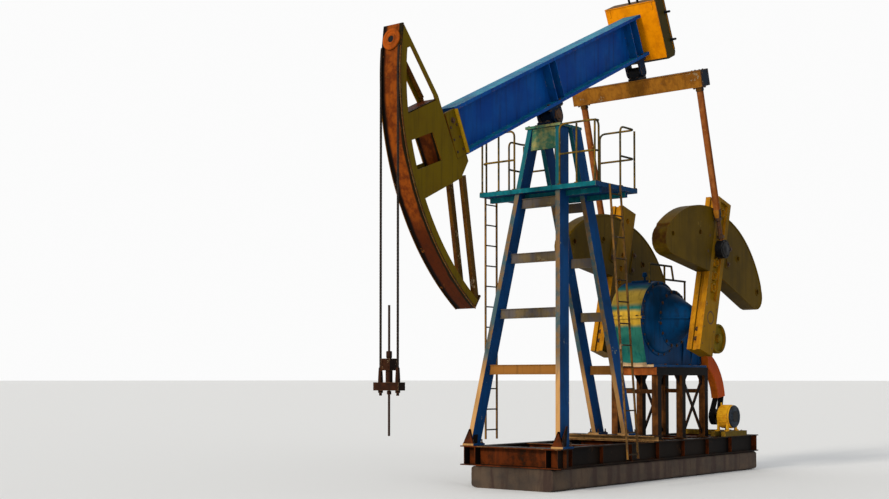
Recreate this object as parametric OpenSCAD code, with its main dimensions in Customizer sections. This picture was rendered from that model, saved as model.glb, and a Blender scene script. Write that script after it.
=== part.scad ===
// Beam pumping unit: a walking beam on a four-legged tower, rocked by two
// counterweighted cranks through pitmans and an equalizer beam.
// Frame: +X runs to the tail, +Z is up, and the side toward -Y is called near.
// The origin is on the ground, straight below the saddle pivot.

/* [Foundation and skid] */
// Height of the concrete foundation
concrete_h = 340; // [200:10:600]
// Half width of the concrete foundation
concrete_half_w = 760; // [600:10:900]
// Where the skid starts, in front of the tower
skid_front_x = -1100; // [-1400:10:-900]
// Where the skid ends, behind the motor
skid_rear_x = 5600; // [5200:10:6200]
// Depth of the skid beams
skid_h = 300; // [200:10:400]
// Sideways distance of each long rail from the centre line
rail_y = 700; // [600:5:720]
// Flange width of the long rails
rail_w = 150; // [100:5:180]
// Flange width of the wide beam under the front feet
front_beam_w = 300; // [200:10:400]
// Half length of the wide beam under the front feet
front_beam_half = 940; // [900:5:1000]
// Depth of the channel that carries the rear feet
rear_channel_h = 100; // [60:5:160]
// Flange thickness of the skid beams
skid_flange_t = 18; // [10:1:30]
// Web thickness of the skid beams
skid_web_t = 14; // [8:1:24]

/* [Tower] */
// Height of the tower's top, under its top plate
tower_top_z = 5600; // [5000:10:6000]
// Front feet: distance in front of the pivot
front_foot_x = -900; // [-1200:10:-700]
// Front feet: sideways distance from the centre line
front_foot_y = 830; // [600:5:900]
// Front legs at the top: distance from the pivot along the unit
front_top_x = -60; // [-200:5:0]
// Front legs at the top: sideways distance
front_top_y = 265; // [200:5:350]
// Rear feet: distance behind the pivot
rear_foot_x = 1800; // [1500:10:2100]
// Rear legs at the top: distance behind the pivot
rear_top_x = 250; // [150:5:400]
// Rear legs: sideways distance, the same from foot to top
rear_leg_y = 290; // [200:5:400]
// Depth of the leg section, along the unit
leg_depth = 240; // [150:5:300]
// Width of the leg section, across the unit
leg_width = 80; // [80:5:200]
// Wall thickness of the leg section
leg_t = 14; // [8:1:24]
// Height of the lowest cross brace above the ground
brace_first_z = 1810; // [1200:10:2200]
// Step from one cross brace to the next
brace_step = 870; // [600:10:1100]
// Number of cross braces in each face
brace_count = 4; // [2:1:6]
// Depth of a cross brace
brace_h = 150; // [80:5:200]
// Thickness of a cross brace along the unit
brace_t = 60; // [30:5:100]

/* [Platform and ladders] */
// Height of the platform's deck above the ground
deck_z = 4640; // [4200:10:5000]
// Thickness of the deck with its edge channel
deck_t = 70; // [40:5:120]
// Front edge of the deck
deck_front_x = -400; // [-600:10:-300]
// Rear edge of the deck
deck_rear_x = 800; // [600:10:1000]
// Half length of the deck across the unit
deck_half = 1100; // [900:10:1300]
// Height of the top rail above the deck
rail_top = 930; // [800:10:1100]
// Height of the middle rail above the deck
rail_mid = 470; // [300:10:600]
// Radius of the railing pipes
pipe_r = 16; // [12:1:30]
// Radius of the railing posts
post_r = 18; // [14:1:34]
// Distance from one ladder rung to the next
rung_step = 330; // [250:5:350]
// Clear width of the ladders between their side rails
ladder_w = 280; // [250:5:450]
// How far the near ladder's foot stands out from its top
ladder_lean = 300; // [0:10:500]

/* [Gearbox and motor] */
// Height of the crankshaft above the ground
shaft_z = 2710; // [2400:10:3000]
// Distance of the crankshaft behind the pivot
shaft_x = 3190; // [2900:10:3500]
// Radius of the crankshaft
shaft_r = 110; // [80:5:150]
// Half width of the gearbox case
case_half_w = 300; // [240:5:360]
// Height of the gearbox's feet above the ground
case_foot_z = 1870; // [1600:10:2000]
// Distance of the input shaft behind the pivot
input_x = 4430; // [4200:10:4600]
// Height of the input shaft above the ground
input_z = 2390; // [2200:10:2600]
// Radius of the brake drum
drum_r = 260; // [200:5:300]
// Distance of the motor's shaft behind the pivot
motor_x = 4650; // [4500:10:5000]
// Height of the motor's shaft above the ground
motor_z = 990; // [900:10:1200]
// Radius of the motor's housing
motor_r = 215; // [150:5:260]
// Radius of the motor's belt pulley
pulley_r = 138; // [110:1:145]

/* [Cranks and weights] */
// Crank angle past vertical, toward the tail, as the unit stands
crank_angle = 15; // [-10:1:150]
// Distance from the crankshaft to the crank pin
crank_radius = 1230; // [900:10:1400]
// Inner face of the crank from the centre line
crank_in_y = 840; // [780:5:900]
// Thickness of the crank across the unit
crank_t = 250; // [200:5:400]
// Width of the crank arm
arm_w = 460; // [300:10:600]
// Length of the arm beyond the shaft, to its outer end
arm_out = 2130; // [1600:10:2200]
// Length of the arm on the other side of the shaft
arm_back = 620; // [300:10:700]
// Thickness of the counterweights across the unit
weight_t = 250; // [150:5:300]
// Radius of the counterweights' outer edge
weight_r = 1960; // [1500:10:2000]

/* [Beam] */
// Tilt of the beam as the unit stands, tail up
beam_tilt = 25.4; // [-24:0.1:29]
// Height of the saddle pivot above the ground
pivot_z = 5800; // [5600:10:6200]
// Underside of the beam above the pivot
beam_low = 160; // [120:5:220]
// Depth of the beam
beam_h = 700; // [500:10:800]
// Width of the beam's flanges
beam_w = 340; // [330:10:450]
// Thickness of the beam's flanges
beam_flange_t = 50; // [25:1:80]
// Thickness of the beam's web
beam_web_t = 24; // [12:1:40]
// Length of the beam in front of the pivot
beam_front = 2460; // [2200:10:2800]
// Length of the beam behind the pivot
beam_rear = 3140; // [3050:10:3300]
// Half width of the box on the beam's tail
tail_box_half = 490; // [400:10:520]
// Length of the box on the beam's tail
tail_box_len = 330; // [250:10:400]
// Tail bearing: distance behind the pivot, along the beam
tail_x = 2860; // [2600:5:3000]
// Tail bearing: distance below the pivot's level, across the beam
tail_drop = 62; // [0:1:120]

/* [Pitmans] */
// Distance from the tail bearing to the crank pins
pitman_len = 3200; // [2800:10:3500]
// Radius of the pitman pipes
pitman_r = 58; // [40:1:80]
// Length of each crank pin bearing across the unit
pin_bearing_w = 120; // [100:5:160]
// How far the equalizer beam reaches past each pitman
equalizer_over = 125; // [90:5:200]
// Lean of the pitmans as the unit stands, foot toward the tail
pitman_lean = 16.3; // [0:0.1:25]

/* [Horsehead] */
// Radius from the pivot to the rope's centre line on the arc
rope_arc_r = 3800; // [3500:10:4000]
// Radius of each bridle rope
rope_r = 17; // [8:1:20]
// Sideways distance of each rope
rope_y = 155; // [120:5:156]
// Width of the arc's face
head_w = 350; // [346:2:450]
// Angle of the arc's upper end above the beam's axis
arc_up = 31; // [25:0.5:36]
// Angle of the arc's lower end below the beam's axis
arc_down = 30.2; // [24:0.1:34]
// Thickness of the arc's face plate
face_t = 25; // [12:1:40]
// Thickness of the cheek plates
cheek_t = 18; // [8:1:30]
// Depth of the cheek's rim behind the face plate
rim_d = 110; // [80:5:200]

/* [Carrier and rod] */
// Underside of the carrier bar above the ground
carrier_z = 1510; // [1200:10:2000]
// Depth of the carrier bar
carrier_h = 110; // [80:5:160]
// Top of the polished rod above the ground
rod_top_z = 2660; // [2200:10:3000]
// Lower end of the polished rod above the ground
rod_low_z = 900; // [500:10:1200]
// Radius of the polished rod
rod_r = 16; // [12:1:17]

/* [Fits] */
// Gap all round between a turning pin and its bore
pin_gap = 1; // [0.5:0.1:3]
// Gap between parts that pass each other
run_gap = 5; // [3:1:20]
// Gap between a part and the seat that it rests in or on
seat_gap = 0.3; // [0.1:0.1:1]
// Gap between the hanging length of a rope and the length on the arc
rope_end_gap = 0.9; // [0.8:0.1:5]

/* [Hidden] */
$fn = 48;
skid_top = concrete_h + skid_h;
foot_t = 30;
rear_foot_z = skid_top + rear_channel_h;
crank_mid_y = crank_in_y + crank_t / 2;
crank_out_y = crank_in_y + crank_t;
pitman_y = crank_out_y + run_gap + pin_bearing_w / 2;
equalizer_half = pitman_y + equalizer_over;
face_r = rope_arc_r - rope_r - seat_gap;
cheek_r = face_r - face_t;
cheek_y = head_w / 2;
rim_in_r = cheek_r - rim_d;
saddle_pin_r = 55;
tail_pin_r = 50;
input_r = 45;
stand_y = 400;
stand_feet_x = [2560, 3390, 4200];
box_low = -100;
box_top = 1060;
head_rear_x = -2730;
// upper side of the plate that closes the head's lower end
cap_a = 0.4 - arc_down;
near = -1;
far = 1;
// sides that the head's large arcs are drawn with
arc_fn = 360;

// Shared shapes

// I section centred on the origin: depth along x, flange width along y
module i_section(depth, width, flange_t, web_t) {
    for (side = [-1, 1])
        translate([side * (depth - flange_t) / 2, 0])
            square([flange_t, width], center = true);
    square([depth - 2 * flange_t + 2, web_t], center = true);
}

// I beam along x, from x0 to x1, with its depth upright
module beam_x(x0, x1, y, z0, depth, width, flange_t, web_t) {
    translate([x0, y, z0 + depth / 2])
        rotate([0, 90, 0])
            linear_extrude(x1 - x0)
                i_section(depth, width, flange_t, web_t);
}

// I beam along y, centred across the unit, with its depth upright
module beam_y(x, half, z0, depth, width, flange_t, web_t) {
    translate([x, half, z0 + depth / 2])
        rotate([90, 90, 0])
            linear_extrude(2 * half)
                i_section(depth, width, flange_t, web_t);
}

// Round bar from one point to another
module bar(from, to, r) {
    d = to - from;
    length = norm(d);
    translate(from)
        rotate([0, acos(d[2] / length), atan2(d[1], d[0])])
            cylinder(r = r, h = length, $fn = 24);
}

// Box from one corner to the opposite one
module block(low, high) {
    translate(low)
        cube(high - low);
}

// Cylinder across the unit, centred at a place in the X-Z plane
module cross_cylinder(x, z, r, y0, y1) {
    translate([x, y1, z])
        rotate([90, 0, 0])
            cylinder(r = r, h = y1 - y0);
}

// Plate cut to a flat outline in the X-Z plane, from y0 to y1
module side_plate(y0, y1) {
    translate([0, y1, 0])
        rotate([90, 0, 0])
            linear_extrude(y1 - y0)
                children();
}

// The beam's own frame: x along the beam, z across it, origin on the pivot
module in_beam_frame() {
    translate([0, 0, pivot_z])
        rotate([0, -beam_tilt, 0])
            children();
}

// The tail bearing's place in the unit's frame
tail_at = [tail_x * cos(beam_tilt) + tail_drop * sin(beam_tilt), 0,
    pivot_z + tail_x * sin(beam_tilt) - tail_drop * cos(beam_tilt)];

// The pitmans' own frame: origin on the tail bearing, crank pins straight below
module in_pitman_frame() {
    translate(tail_at)
        rotate([0, -pitman_lean, 0])
            children();
}

// The cranks' own frame: origin on the crankshaft, z along the arm
module in_crank_frame() {
    translate([shaft_x, 0, shaft_z])
        rotate([0, crank_angle, 0])
            children();
}

// Foundation and skid

module concrete_base() {
    color("#8f8a80")
        block([skid_front_x + 50, -concrete_half_w, 0],
            [skid_rear_x - 50, concrete_half_w, concrete_h]);
}

module skid_rails() {
    color("#5a3a22")
        for (side = [near, far])
            beam_x(skid_front_x + front_beam_w, skid_rear_x - rail_w, side * rail_y,
                concrete_h, skid_h, rail_w, skid_flange_t, skid_web_t);
}

// The cross beams between the rails, under the stand's feet
inner_half = rail_y - rail_w / 2;

module skid_cross_beams() {
    color("#5a3a22") {
        front_beam();
        beam_y(skid_rear_x - rail_w / 2, rail_y + rail_w / 2, concrete_h, skid_h,
            rail_w, skid_flange_t, skid_web_t);
        for (x = [300, stand_feet_x[0], stand_feet_x[1], stand_feet_x[2]])
            beam_y(x, inner_half, concrete_h, skid_h, rail_w, skid_flange_t, skid_web_t);
        beam_y(rear_foot_x, inner_half, concrete_h, skid_h, rail_w, skid_flange_t,
            skid_web_t);
    }
    color("#cdbb98")
        beam_y(rear_foot_x, 880, skid_top, rear_channel_h, front_beam_w, 12, 12);
}

// Wide beam under the front feet, with the plates that stiffen its web
module front_beam() {
    middle_x = skid_front_x + front_beam_w / 2;
    beam_y(middle_x, front_beam_half, concrete_h, skid_h, front_beam_w, skid_flange_t,
        skid_web_t);
    for (side = [near, far], y = [660, 870])
        translate([middle_x, side * y, concrete_h + skid_h / 2])
            cube([front_beam_w - 20, 12, skid_h - 2 * skid_flange_t + 2], center = true);
}

// Tower

// One leg's length of its section between two points, not yet trimmed
module leg_bar(foot, top) {
    d = top - foot;
    across = -atan2(d[1], d[2]);
    along = atan2(d[0] * cos(across), d[2]);
    translate(foot)
        rotate([across, 0, 0])
            rotate([0, along, 0])
                translate([0, 0, -200])
                    linear_extrude(norm(d) + 400)
                        children();
}

module leg_outer() {
    square([leg_depth, leg_width], center = true);
}

module leg_wall() {
    difference() {
        leg_outer();
        square([leg_depth - 2 * leg_t, leg_width - 2 * leg_t], center = true);
    }
}

// A leg trimmed level at its foot plate and under the tower's top plate
module leg(foot, top) {
    intersection() {
        leg_bar(foot, top)
            leg_wall();
        block([-2000, -1500, foot[2]], [2500, 1500, top[2]]);
    }
}

function front_foot(side) = [front_foot_x, side * front_foot_y, skid_top + foot_t];
function front_top(side) = [front_top_x, side * front_top_y, tower_top_z];
function rear_foot(side) = [rear_foot_x, side * rear_leg_y, rear_foot_z + foot_t];
function rear_top(side) = [rear_top_x, side * rear_leg_y, tower_top_z];

// The four legs as plain bars, to cut what fits round them
module leg_space() {
    for (side = [near, far]) {
        leg_bar(front_foot(side), front_top(side))
            leg_outer();
        leg_bar(rear_foot(side), rear_top(side))
            leg_outer();
    }
}

// A foot plate under a leg
module foot_plate(at, size) {
    block([at[0] - size[0] / 2, at[1] - size[1] / 2, at[2] - foot_t],
        [at[0] + size[0] / 2, at[1] + size[1] / 2, at[2]]);
}

module tower_front_legs() {
    color("#1d4a5e")
        for (side = [near, far]) {
            leg(front_foot(side), front_top(side));
            foot_plate(front_foot(side), [290, 210]);
        }
}

module tower_rear_legs() {
    color("#1d4a5e")
        for (side = [near, far]) {
            leg(rear_foot(side), rear_top(side));
            foot_plate(rear_foot(side), [290, 210]);
        }
}

// How far along its height a point of a leg is, from 0 at its foot to 1 at its top
function leg_share(z, foot_z) = (z - foot_z) / (tower_top_z - foot_z);

module front_braces() {
    color("#8b8a72")
        for (i = [0 : brace_count - 1]) {
            z = brace_first_z + i * brace_step;
            share = leg_share(z, skid_top + foot_t);
            x = front_foot_x + share * (front_top_x - front_foot_x);
            y = front_foot_y + share * (front_top_y - front_foot_y);
            difference() {
                block([x, -y, z - brace_h / 2], [x + brace_t, y, z + brace_h / 2]);
                leg_space();
            }
        }
}

module rear_braces() {
    color("#8b8a72")
        for (i = [0 : brace_count - 1]) {
            z = brace_first_z + i * brace_step;
            share = leg_share(z, rear_foot_z + foot_t);
            x = rear_foot_x + share * (rear_top_x - rear_foot_x) + leg_depth / 2 - brace_t;
            y = rear_leg_y - leg_width / 2;
            block([x - 20, -y, z - brace_h / 2], [x + brace_t - 20, y, z + brace_h / 2]);
        }
}

module tower_head() {
    color("#3f6f6a") {
        block([front_top_x - 150, -335, tower_top_z], [rear_top_x + 140, 335,
            tower_top_z + 40]);
        difference() {
            block([front_top_x - 100, -front_top_y, tower_top_z - 340],
                [front_top_x - 80, front_top_y, tower_top_z]);
            leg_space();
        }
    }
}

// Saddle and tail bearings

// Bearing block round a pin across the unit, standing on a level base
module pillow_block(r, drop, half_w, base_half, pin_r) {
    difference() {
        union() {
            cross_cylinder(0, 0, r, -half_w, half_w);
            block([-r, -half_w, -drop], [r, half_w, 0]);
            block([-base_half, -half_w, -drop], [base_half, half_w, -drop + 40]);
        }
        cross_cylinder(0, 0, pin_r + pin_gap, -half_w - 1, half_w + 1);
    }
}

module saddle_bearing() {
    color("#2f5d78")
        translate([0, 0, pivot_z])
            pillow_block(105, pivot_z - tower_top_z - 40, 110, 200, saddle_pin_r);
}

// Two cheeks that hang from the beam and carry a pin across the unit
module hanging_cheeks(x, z, r, in_y, t, pin_r) {
    for (side = [near, far]) {
        y0 = side > 0 ? in_y : -in_y - t;
        cross_cylinder(x, z, r, y0, y0 + t);
        block([x - r, y0, z], [x + r, y0 + t, beam_low - 30]);
    }
    block([x - r - 60, -in_y - t - 10, beam_low - 30], [x + r + 60, in_y + t + 10, beam_low]);
    cross_cylinder(x, z, pin_r, -in_y - t, in_y + t);
}

module saddle_clamp() {
    color("#2f5d78")
        in_beam_frame()
            hanging_cheeks(0, 0, 138, 115, 40, saddle_pin_r);
}

module tail_bracket() {
    color("#17456f")
        in_beam_frame()
            hanging_cheeks(tail_x, -tail_drop, 90, 115, 35, tail_pin_r);
}

// Platform, railings and ladders

module platform_deck() {
    color("#2c5f63")
        difference() {
            union() {
                block([deck_front_x, -deck_half, deck_z - deck_t],
                    [deck_rear_x, deck_half, deck_z]);
                for (x = [deck_front_x + 200, deck_rear_x - 260])
                    block([x, -deck_half + 60, deck_z - deck_t - 80],
                        [x + 60, deck_half - 60, deck_z - deck_t]);
            }
            leg_space();
        }
}

// One hoop of railing along an open path of corner points, with its posts
module rail_hoop(path, posts) {
    for (height = [rail_mid, rail_top], i = [0 : len(path) - 2])
        bar([path[i][0], path[i][1], deck_z + height],
            [path[i + 1][0], path[i + 1][1], deck_z + height], pipe_r);
    for (p = path)
        for (height = [rail_mid, rail_top])
            translate([p[0], p[1], deck_z + height])
                sphere(r = post_r + 2, $fn = 24);
    for (p = posts)
        translate([p[0], p[1], deck_z])
            cylinder(r = post_r, h = rail_top, $fn = 24);
}

// Railing on one side: a front hoop and a rear hoop, open for the ladder between
module railing(side) {
    edge = side * (deck_half - 2 * pipe_r);
    front_x = deck_front_x + 2 * pipe_r;
    rear_x = deck_rear_x - 2 * pipe_r;
    rail_hoop([[front_x, side * 430], [front_x, edge], [-260, edge]],
        [[front_x, side * 430], [front_x, side * 740], [front_x, edge], [-260, edge]]);
    rail_hoop([[350, edge], [rear_x, edge], [rear_x, side * 430]],
        [[350, edge], [rear_x, edge], [rear_x, side * 430]]);
}

module railing_near() {
    color("#4a4f3a")
        railing(near);
}

module railing_far() {
    color("#4a4f3a")
        railing(far);
}

// Ladder in the X-Z plane: two flat side rails and round rungs, foot at z0
module ladder(z0, z1) {
    for (x = [-ladder_w / 2 - 16, ladder_w / 2])
        block([x, 0, z0], [x + 16, 32, z1]);
    for (z = [z1 - 150 : -rung_step : z0 + 60])
        translate([-ladder_w / 2 - 8, 16, z])
            rotate([0, 90, 0])
                cylinder(r = 11, h = ladder_w + 16, $fn = 24);
}

module ladder_near() {
    top_z = deck_z - 10;
    low_z = 450;
    lean = atan2(ladder_lean, top_z - low_z);
    color("#b98a4a")
        translate([120, -deck_half, top_z])
            rotate([-lean, 0, 0])
                translate([0, -32, -top_z])
                    ladder(low_z, top_z);
}

module ladder_far() {
    color("#b98a4a")
        translate([-75, deck_half, 0])
            ladder(skid_top + 60, deck_z - 10);
}

// Gearbox, its stand and its drive

module gearbox_stand() {
    top_t = 140;
    post = 120;
    low = skid_top;
    high = case_foot_z - top_t;
    color("#23211f") {
        for (side = [near, far]) {
            y = side * stand_y;
            block([stand_feet_x[0] - 90, y - post / 2, high],
                [stand_feet_x[2] + post / 2, y + post / 2, case_foot_z]);
            for (x = stand_feet_x)
                block([x - post / 2, y - post / 2, low], [x + post / 2, y + post / 2, high]);
            brace_pair(stand_feet_x[1], stand_feet_x[2], y, post);
        }
        for (x = [stand_feet_x[0], stand_feet_x[2]], z = [high, 1420])
            block([x - 40, -stand_y + post / 2, z], [x + 40, stand_y - post / 2, z + 70]);
    }
}

// Crossed flat bars between two posts of the stand
module brace_pair(x0, x1, y, post) {
    low = skid_top + 60;
    high = case_foot_z - 200;
    dx = x1 - x0 - post;
    dz = high - low;
    for (turn = [-1, 1])
        translate([(x0 + x1) / 2, y, (low + high) / 2])
            rotate([0, turn * atan2(dx, dz), 0])
                cube([60, 20, norm([dx, dz]) - 40], center = true);
}

// Side view of the gearbox: a round bulge over the gears and a sloping tail
bulge_r = 650;
bulge_x = shaft_x - 330;
bulge_z = shaft_z - 10;
case_front_x = bulge_x - bulge_r + 30;
case_rear_x = input_x + 140;

module case_outline() {
    translate([bulge_x, bulge_z])
        circle(r = bulge_r);
    polygon([[bulge_x, bulge_z], [bulge_x, bulge_z + bulge_r],
        [shaft_x + 110, shaft_z + 490], [shaft_x + 660, shaft_z + 290],
        [input_x, input_z + 330], [case_rear_x, input_z + 60],
        [case_rear_x, case_foot_z + 150], [input_x + 50, case_foot_z],
        [bulge_x - 440, case_foot_z], [case_front_x, shaft_z - 210]]);
}

module gearbox_case() {
    foot_t = 40;
    boss_out = 430;
    color("#1f5f86")
        difference() {
            union() {
                side_plate(-case_half_w, case_half_w)
                    case_outline();
                block([bulge_x - bulge_r - 30, -case_half_w - 40, shaft_z - 25],
                    [case_rear_x - 40, case_half_w + 40, shaft_z + 20]);
                block([bulge_x - 460, -stand_y - 40, case_foot_z],
                    [stand_feet_x[2] + 50, stand_y + 40, case_foot_z + foot_t]);
                cross_cylinder(shaft_x, shaft_z, 230, -boss_out, boss_out);
                cross_cylinder(input_x, input_z, 115, -case_half_w - 15, case_half_w + 60);
            }
            cross_cylinder(shaft_x, shaft_z, shaft_r + pin_gap, -boss_out - 1, boss_out + 1);
            cross_cylinder(input_x, input_z, input_r + seat_gap, -case_half_w - 16, 0);
        }
}

// Guard rails that stand on the gearbox: posts to the case, two level rails, one slope
module gearbox_rails() {
    y = -240;
    r = 18;
    high = 930;
    middle = 690;
    color("#3a3f36")
        translate([shaft_x, 0, shaft_z]) {
            for (post = [[-570, high, 601.2], [-70, high, 593.8], [640, middle, 304.3]])
                bar([post[0], y, post[1]], [post[0], y, post[2]], r);
            bar([-570, y, high], [170, y, high], r);
            bar([170, y, high], [240, y, middle], r);
            bar([-70, y, middle], [660, y, middle], r);
        }
}

module brake_drum() {
    color("#8f7a1e")
        difference() {
            union() {
                cross_cylinder(input_x, input_z, drum_r, -600, -500);
                cross_cylinder(input_x, input_z, input_r, -620, -200);
            }
            side_plate(-601, -560)
                difference() {
                    translate([input_x, input_z])
                        circle(r = drum_r - 30);
                    translate([input_x, input_z])
                        circle(r = 80);
                }
        }
}

// Belt guard: a slim closed case round the input shaft, with a curved arm down to the
// motor's pulley, that stands on a pad on the gearbox
guard_near_y = -460;
guard_far_y = -325;
// centre, inner and outer radius and lower end angle of the curved arm
arm_centre = [input_x - 500, input_z - 1170];
arm_in_r = 720;
arm_out_r = 985;
arm_low_a = 8;

module guard_arm(r0, r1, a0, a1) {
    polygon([for (a = [a0 : 4 : a1]) arm_centre + r1 * [cos(a), sin(a)],
        for (a = [a1 : -4 : a0]) arm_centre + r0 * [cos(a), sin(a)]]);
}

module belt_guard() {
    top_r = 200;
    color("#c8551f") {
        difference() {
            side_plate(guard_near_y, guard_far_y) {
                translate([input_x, input_z])
                    circle(r = top_r);
                guard_arm(arm_in_r, arm_out_r, arm_low_a, 60);
                polygon([arm_centre + arm_in_r * [cos(60), sin(60)],
                    arm_centre + arm_out_r * [cos(60), sin(60)],
                    [input_x + 120, input_z - 100], [input_x - top_r + 5, input_z - 20]]);
            }
            cross_cylinder(input_x, input_z, input_r + pin_gap, guard_near_y - 1,
                guard_far_y + 1);
        }
        block([input_x - 100, guard_far_y, input_z - 380],
            [input_x, -case_half_w, input_z - 270]);
    }
}

// Belt: the stretch of the loop that shows under the guard, round the motor's pulley
module drive_belt() {
    belt_t = 14;
    in_r = pulley_r + seat_gap;
    out_r = in_r + belt_t;
    along = [cos(arm_low_a), sin(arm_low_a)];
    top_front = arm_centre + (arm_in_r + 20) * along;
    top_rear = arm_centre + (arm_out_r - 20) * along;
    up = [0, 2];
    color("#161514")
        side_plate(guard_near_y + 15, guard_far_y - 15)
            difference() {
                union() {
                    translate([motor_x, motor_z])
                        circle(r = out_r);
                    polygon([top_front, top_rear, on_pulley(out_r - 1, -15),
                        on_pulley(out_r - 1, 150)]);
                }
                translate([motor_x, motor_z])
                    circle(r = in_r);
                polygon([top_front + belt_t * along + up, top_rear - belt_t * along + up,
                    on_pulley(in_r - 3, -15), on_pulley(in_r - 3, 150)]);
            }
}

function on_pulley(r, a) = [motor_x + r * cos(a), motor_z + r * sin(a)];

module motor_mount() {
    color("#a8892c") {
        for (y = [-770, -560])
            block([motor_x - 330, y, skid_top], [motor_x + 500, y + 80, skid_top + 90]);
        block([motor_x + 420, -480, skid_top], [motor_x + 500, 480, skid_top + 90]);
    }
}

module motor_body() {
    color("#d9a520") {
        cross_cylinder(motor_x, motor_z, motor_r, -770, -490);
        block([motor_x - 190, -770, skid_top + 90], [motor_x + 190, -490, motor_z - 100]);
    }
    color("#2b2b30") {
        cross_cylinder(motor_x, motor_z, motor_r - 10, -800, -770);
        cross_cylinder(motor_x, motor_z, 50, -490, guard_far_y - 15);
        cross_cylinder(motor_x, motor_z, pulley_r, guard_near_y + 15, guard_far_y - 15);
    }
}

// Walking beam

module walking_beam() {
    stiff_t = 16;
    clear_h = beam_h - 2 * beam_flange_t;
    color("#12497a")
        in_beam_frame() {
            beam_x(-beam_front, beam_rear, 0, beam_low, beam_h, beam_w, beam_flange_t,
                beam_web_t);
            for (x = [100, 300, tail_x - 110, tail_x + 110])
                block([x - stiff_t / 2, -beam_w / 2 + 15, beam_low + beam_flange_t],
                    [x + stiff_t / 2, beam_w / 2 - 15, beam_low + beam_flange_t + clear_h]);
            block([-beam_front - 20, -beam_w / 2, beam_low],
                [-beam_front, beam_w / 2, beam_low + beam_h]);
        }
}

module tail_box() {
    rear = beam_rear + tail_box_len;
    color("#cf8a1c")
        in_beam_frame() {
            side_plate(-tail_box_half, tail_box_half)
                polygon([[beam_rear, 60], [beam_rear, 1050], [rear, 1050], [rear, 80],
                    [rear - 50, 20], [beam_rear + 50, 20]]);
            for (y = [-80, 80])
                translate([beam_rear + 160, y, 1050])
                    cylinder(r = 18, h = 90, $fn = 24);
        }
}

// Horsehead

// Flat ring sector in the head's plane, from angle a0 to a1 above the beam's axis
module ring_sector(r_in, r_out, a0, a1) {
    reach = 2 * r_out;
    intersection() {
        difference() {
            circle(r = r_out, $fn = arc_fn);
            circle(r = r_in, $fn = arc_fn);
        }
        polygon([[0, 0], [-reach * cos(a0), reach * sin(a0)],
            [-reach * cos(a1), reach * sin(a1)]]);
    }
}

module head_face() {
    disc_a = arc_up + 1.6;
    boss_r = 150;
    boss_t = 18;
    color("#a5581c")
        in_beam_frame() {
            side_plate(-head_w / 2, head_w / 2)
                ring_sector(cheek_r, face_r, -arc_down, arc_up);
            // flat upper end of the face, with a round boss and its hole
            rotate([0, disc_a - 90, 0])
                translate([0, 0, cheek_r])
                    difference() {
                        union() {
                            block([-95, -head_w / 2, 0], [top_plate_h, head_w / 2, face_t]);
                            cylinder(r = boss_r, h = face_t + boss_t);
                        }
                        translate([0, 0, -1])
                            cylinder(r = 47, h = face_t + boss_t + 2);
                    }
            // plate that closes the head's lower end
            side_plate(-head_w / 2, head_w / 2)
                ring_sector(rim_in_r - 90, cheek_r + 1, -arc_down, cap_a);
        }
}

// height of the face's flat upper end above the boss's centre
top_plate_h = 213;

// Outline of one cheek: rim along the arc, upper triangle and middle box
module cheek_outline() {
    difference() {
        union() {
            ring_sector(rim_in_r, cheek_r, cap_a, 34);
            intersection() {
                circle(r = cheek_r - 1, $fn = arc_fn);
                polygon([[-3055, 2183], [-2770, 1110], [-2763, 768], [head_rear_x, box_low],
                    [-rope_arc_r, box_low], [-rope_arc_r, 2183]]);
            }
        }
        intersection() {
            circle(r = rim_in_r, $fn = arc_fn);
            polygon([[-3045, 1880], [-2835, box_top], [-rope_arc_r, box_top],
                [-rope_arc_r, 1880]]);
        }
        intersection() {
            circle(r = rim_in_r, $fn = arc_fn);
            polygon([[-rope_arc_r, 730], [-3100, 680], [-3085, 265], [-rope_arc_r, 320]]);
        }
    }
}

module head_cheek_near() {
    color("#7d6f14")
        in_beam_frame()
            side_plate(-cheek_y, -cheek_y + cheek_t)
                cheek_outline();
}

module head_cheek_far() {
    color("#7d6f14")
        in_beam_frame()
            side_plate(cheek_y - cheek_t, cheek_y)
                cheek_outline();
}

// Plates between the cheeks that make the middle box
module head_box() {
    half = cheek_y - cheek_t;
    t = 16;
    color("#9a5a20")
        in_beam_frame() {
            intersection() {
                side_plate(-half, half)
                    circle(r = cheek_r - 1, $fn = arc_fn);
                union() {
                    block([-rope_arc_r, -half, box_low], [head_rear_x, half, box_low + t]);
                    block([-rope_arc_r, -half, box_top], [-2800, half, box_top + t]);
                }
            }
            block([head_rear_x - t, -half, box_low + t], [head_rear_x, half, 760]);
            block([-3085, -half, box_low + t], [-3085 + t, half, box_top]);
        }
}

// Two bars from the box down to the lower end of the arc
module head_struts() {
    foot_a = 31.64;
    foot_r = cheek_r + 7;
    top = [-2680, box_low];
    foot = [-foot_r * cos(foot_a), -foot_r * sin(foot_a)];
    d = foot - top;
    color("#6a4a1e")
        in_beam_frame()
            for (side = [near, far])
                difference() {
                    translate([top[0], side * (cheek_y - cheek_t - 34), top[1]])
                        rotate([0, atan2(d[0], d[1]), 0])
                            translate([-46, -32, -50])
                                cube([92, 64, norm(d) + 50]);
                    block([-4000, -300, box_low], [-2000, 300, 200]);
                    rotate([0, cap_a, 0])
                        block([-4500, -300, -1000], [-2500, 300, seat_gap]);
                }
}

// The link that hangs the head on the beam's end
module head_link() {
    front_x = head_rear_x + seat_gap;
    rear_x = -beam_front - 20 - seat_gap;
    color("#7d6f14")
        in_beam_frame() {
            for (side = [near, far])
                translate([0, side * (cheek_y - 30), 0])
                    block([front_x, -30, 180], [rear_x, 30, 840]);
            cross_cylinder((front_x + rear_x) / 2, 700, 62, -cheek_y, cheek_y);
            side_plate(-150, 150)
                polygon([[front_x, box_low], [front_x, 180], [rear_x, 180], [rear_x, 60]]);
        }
}

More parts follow.
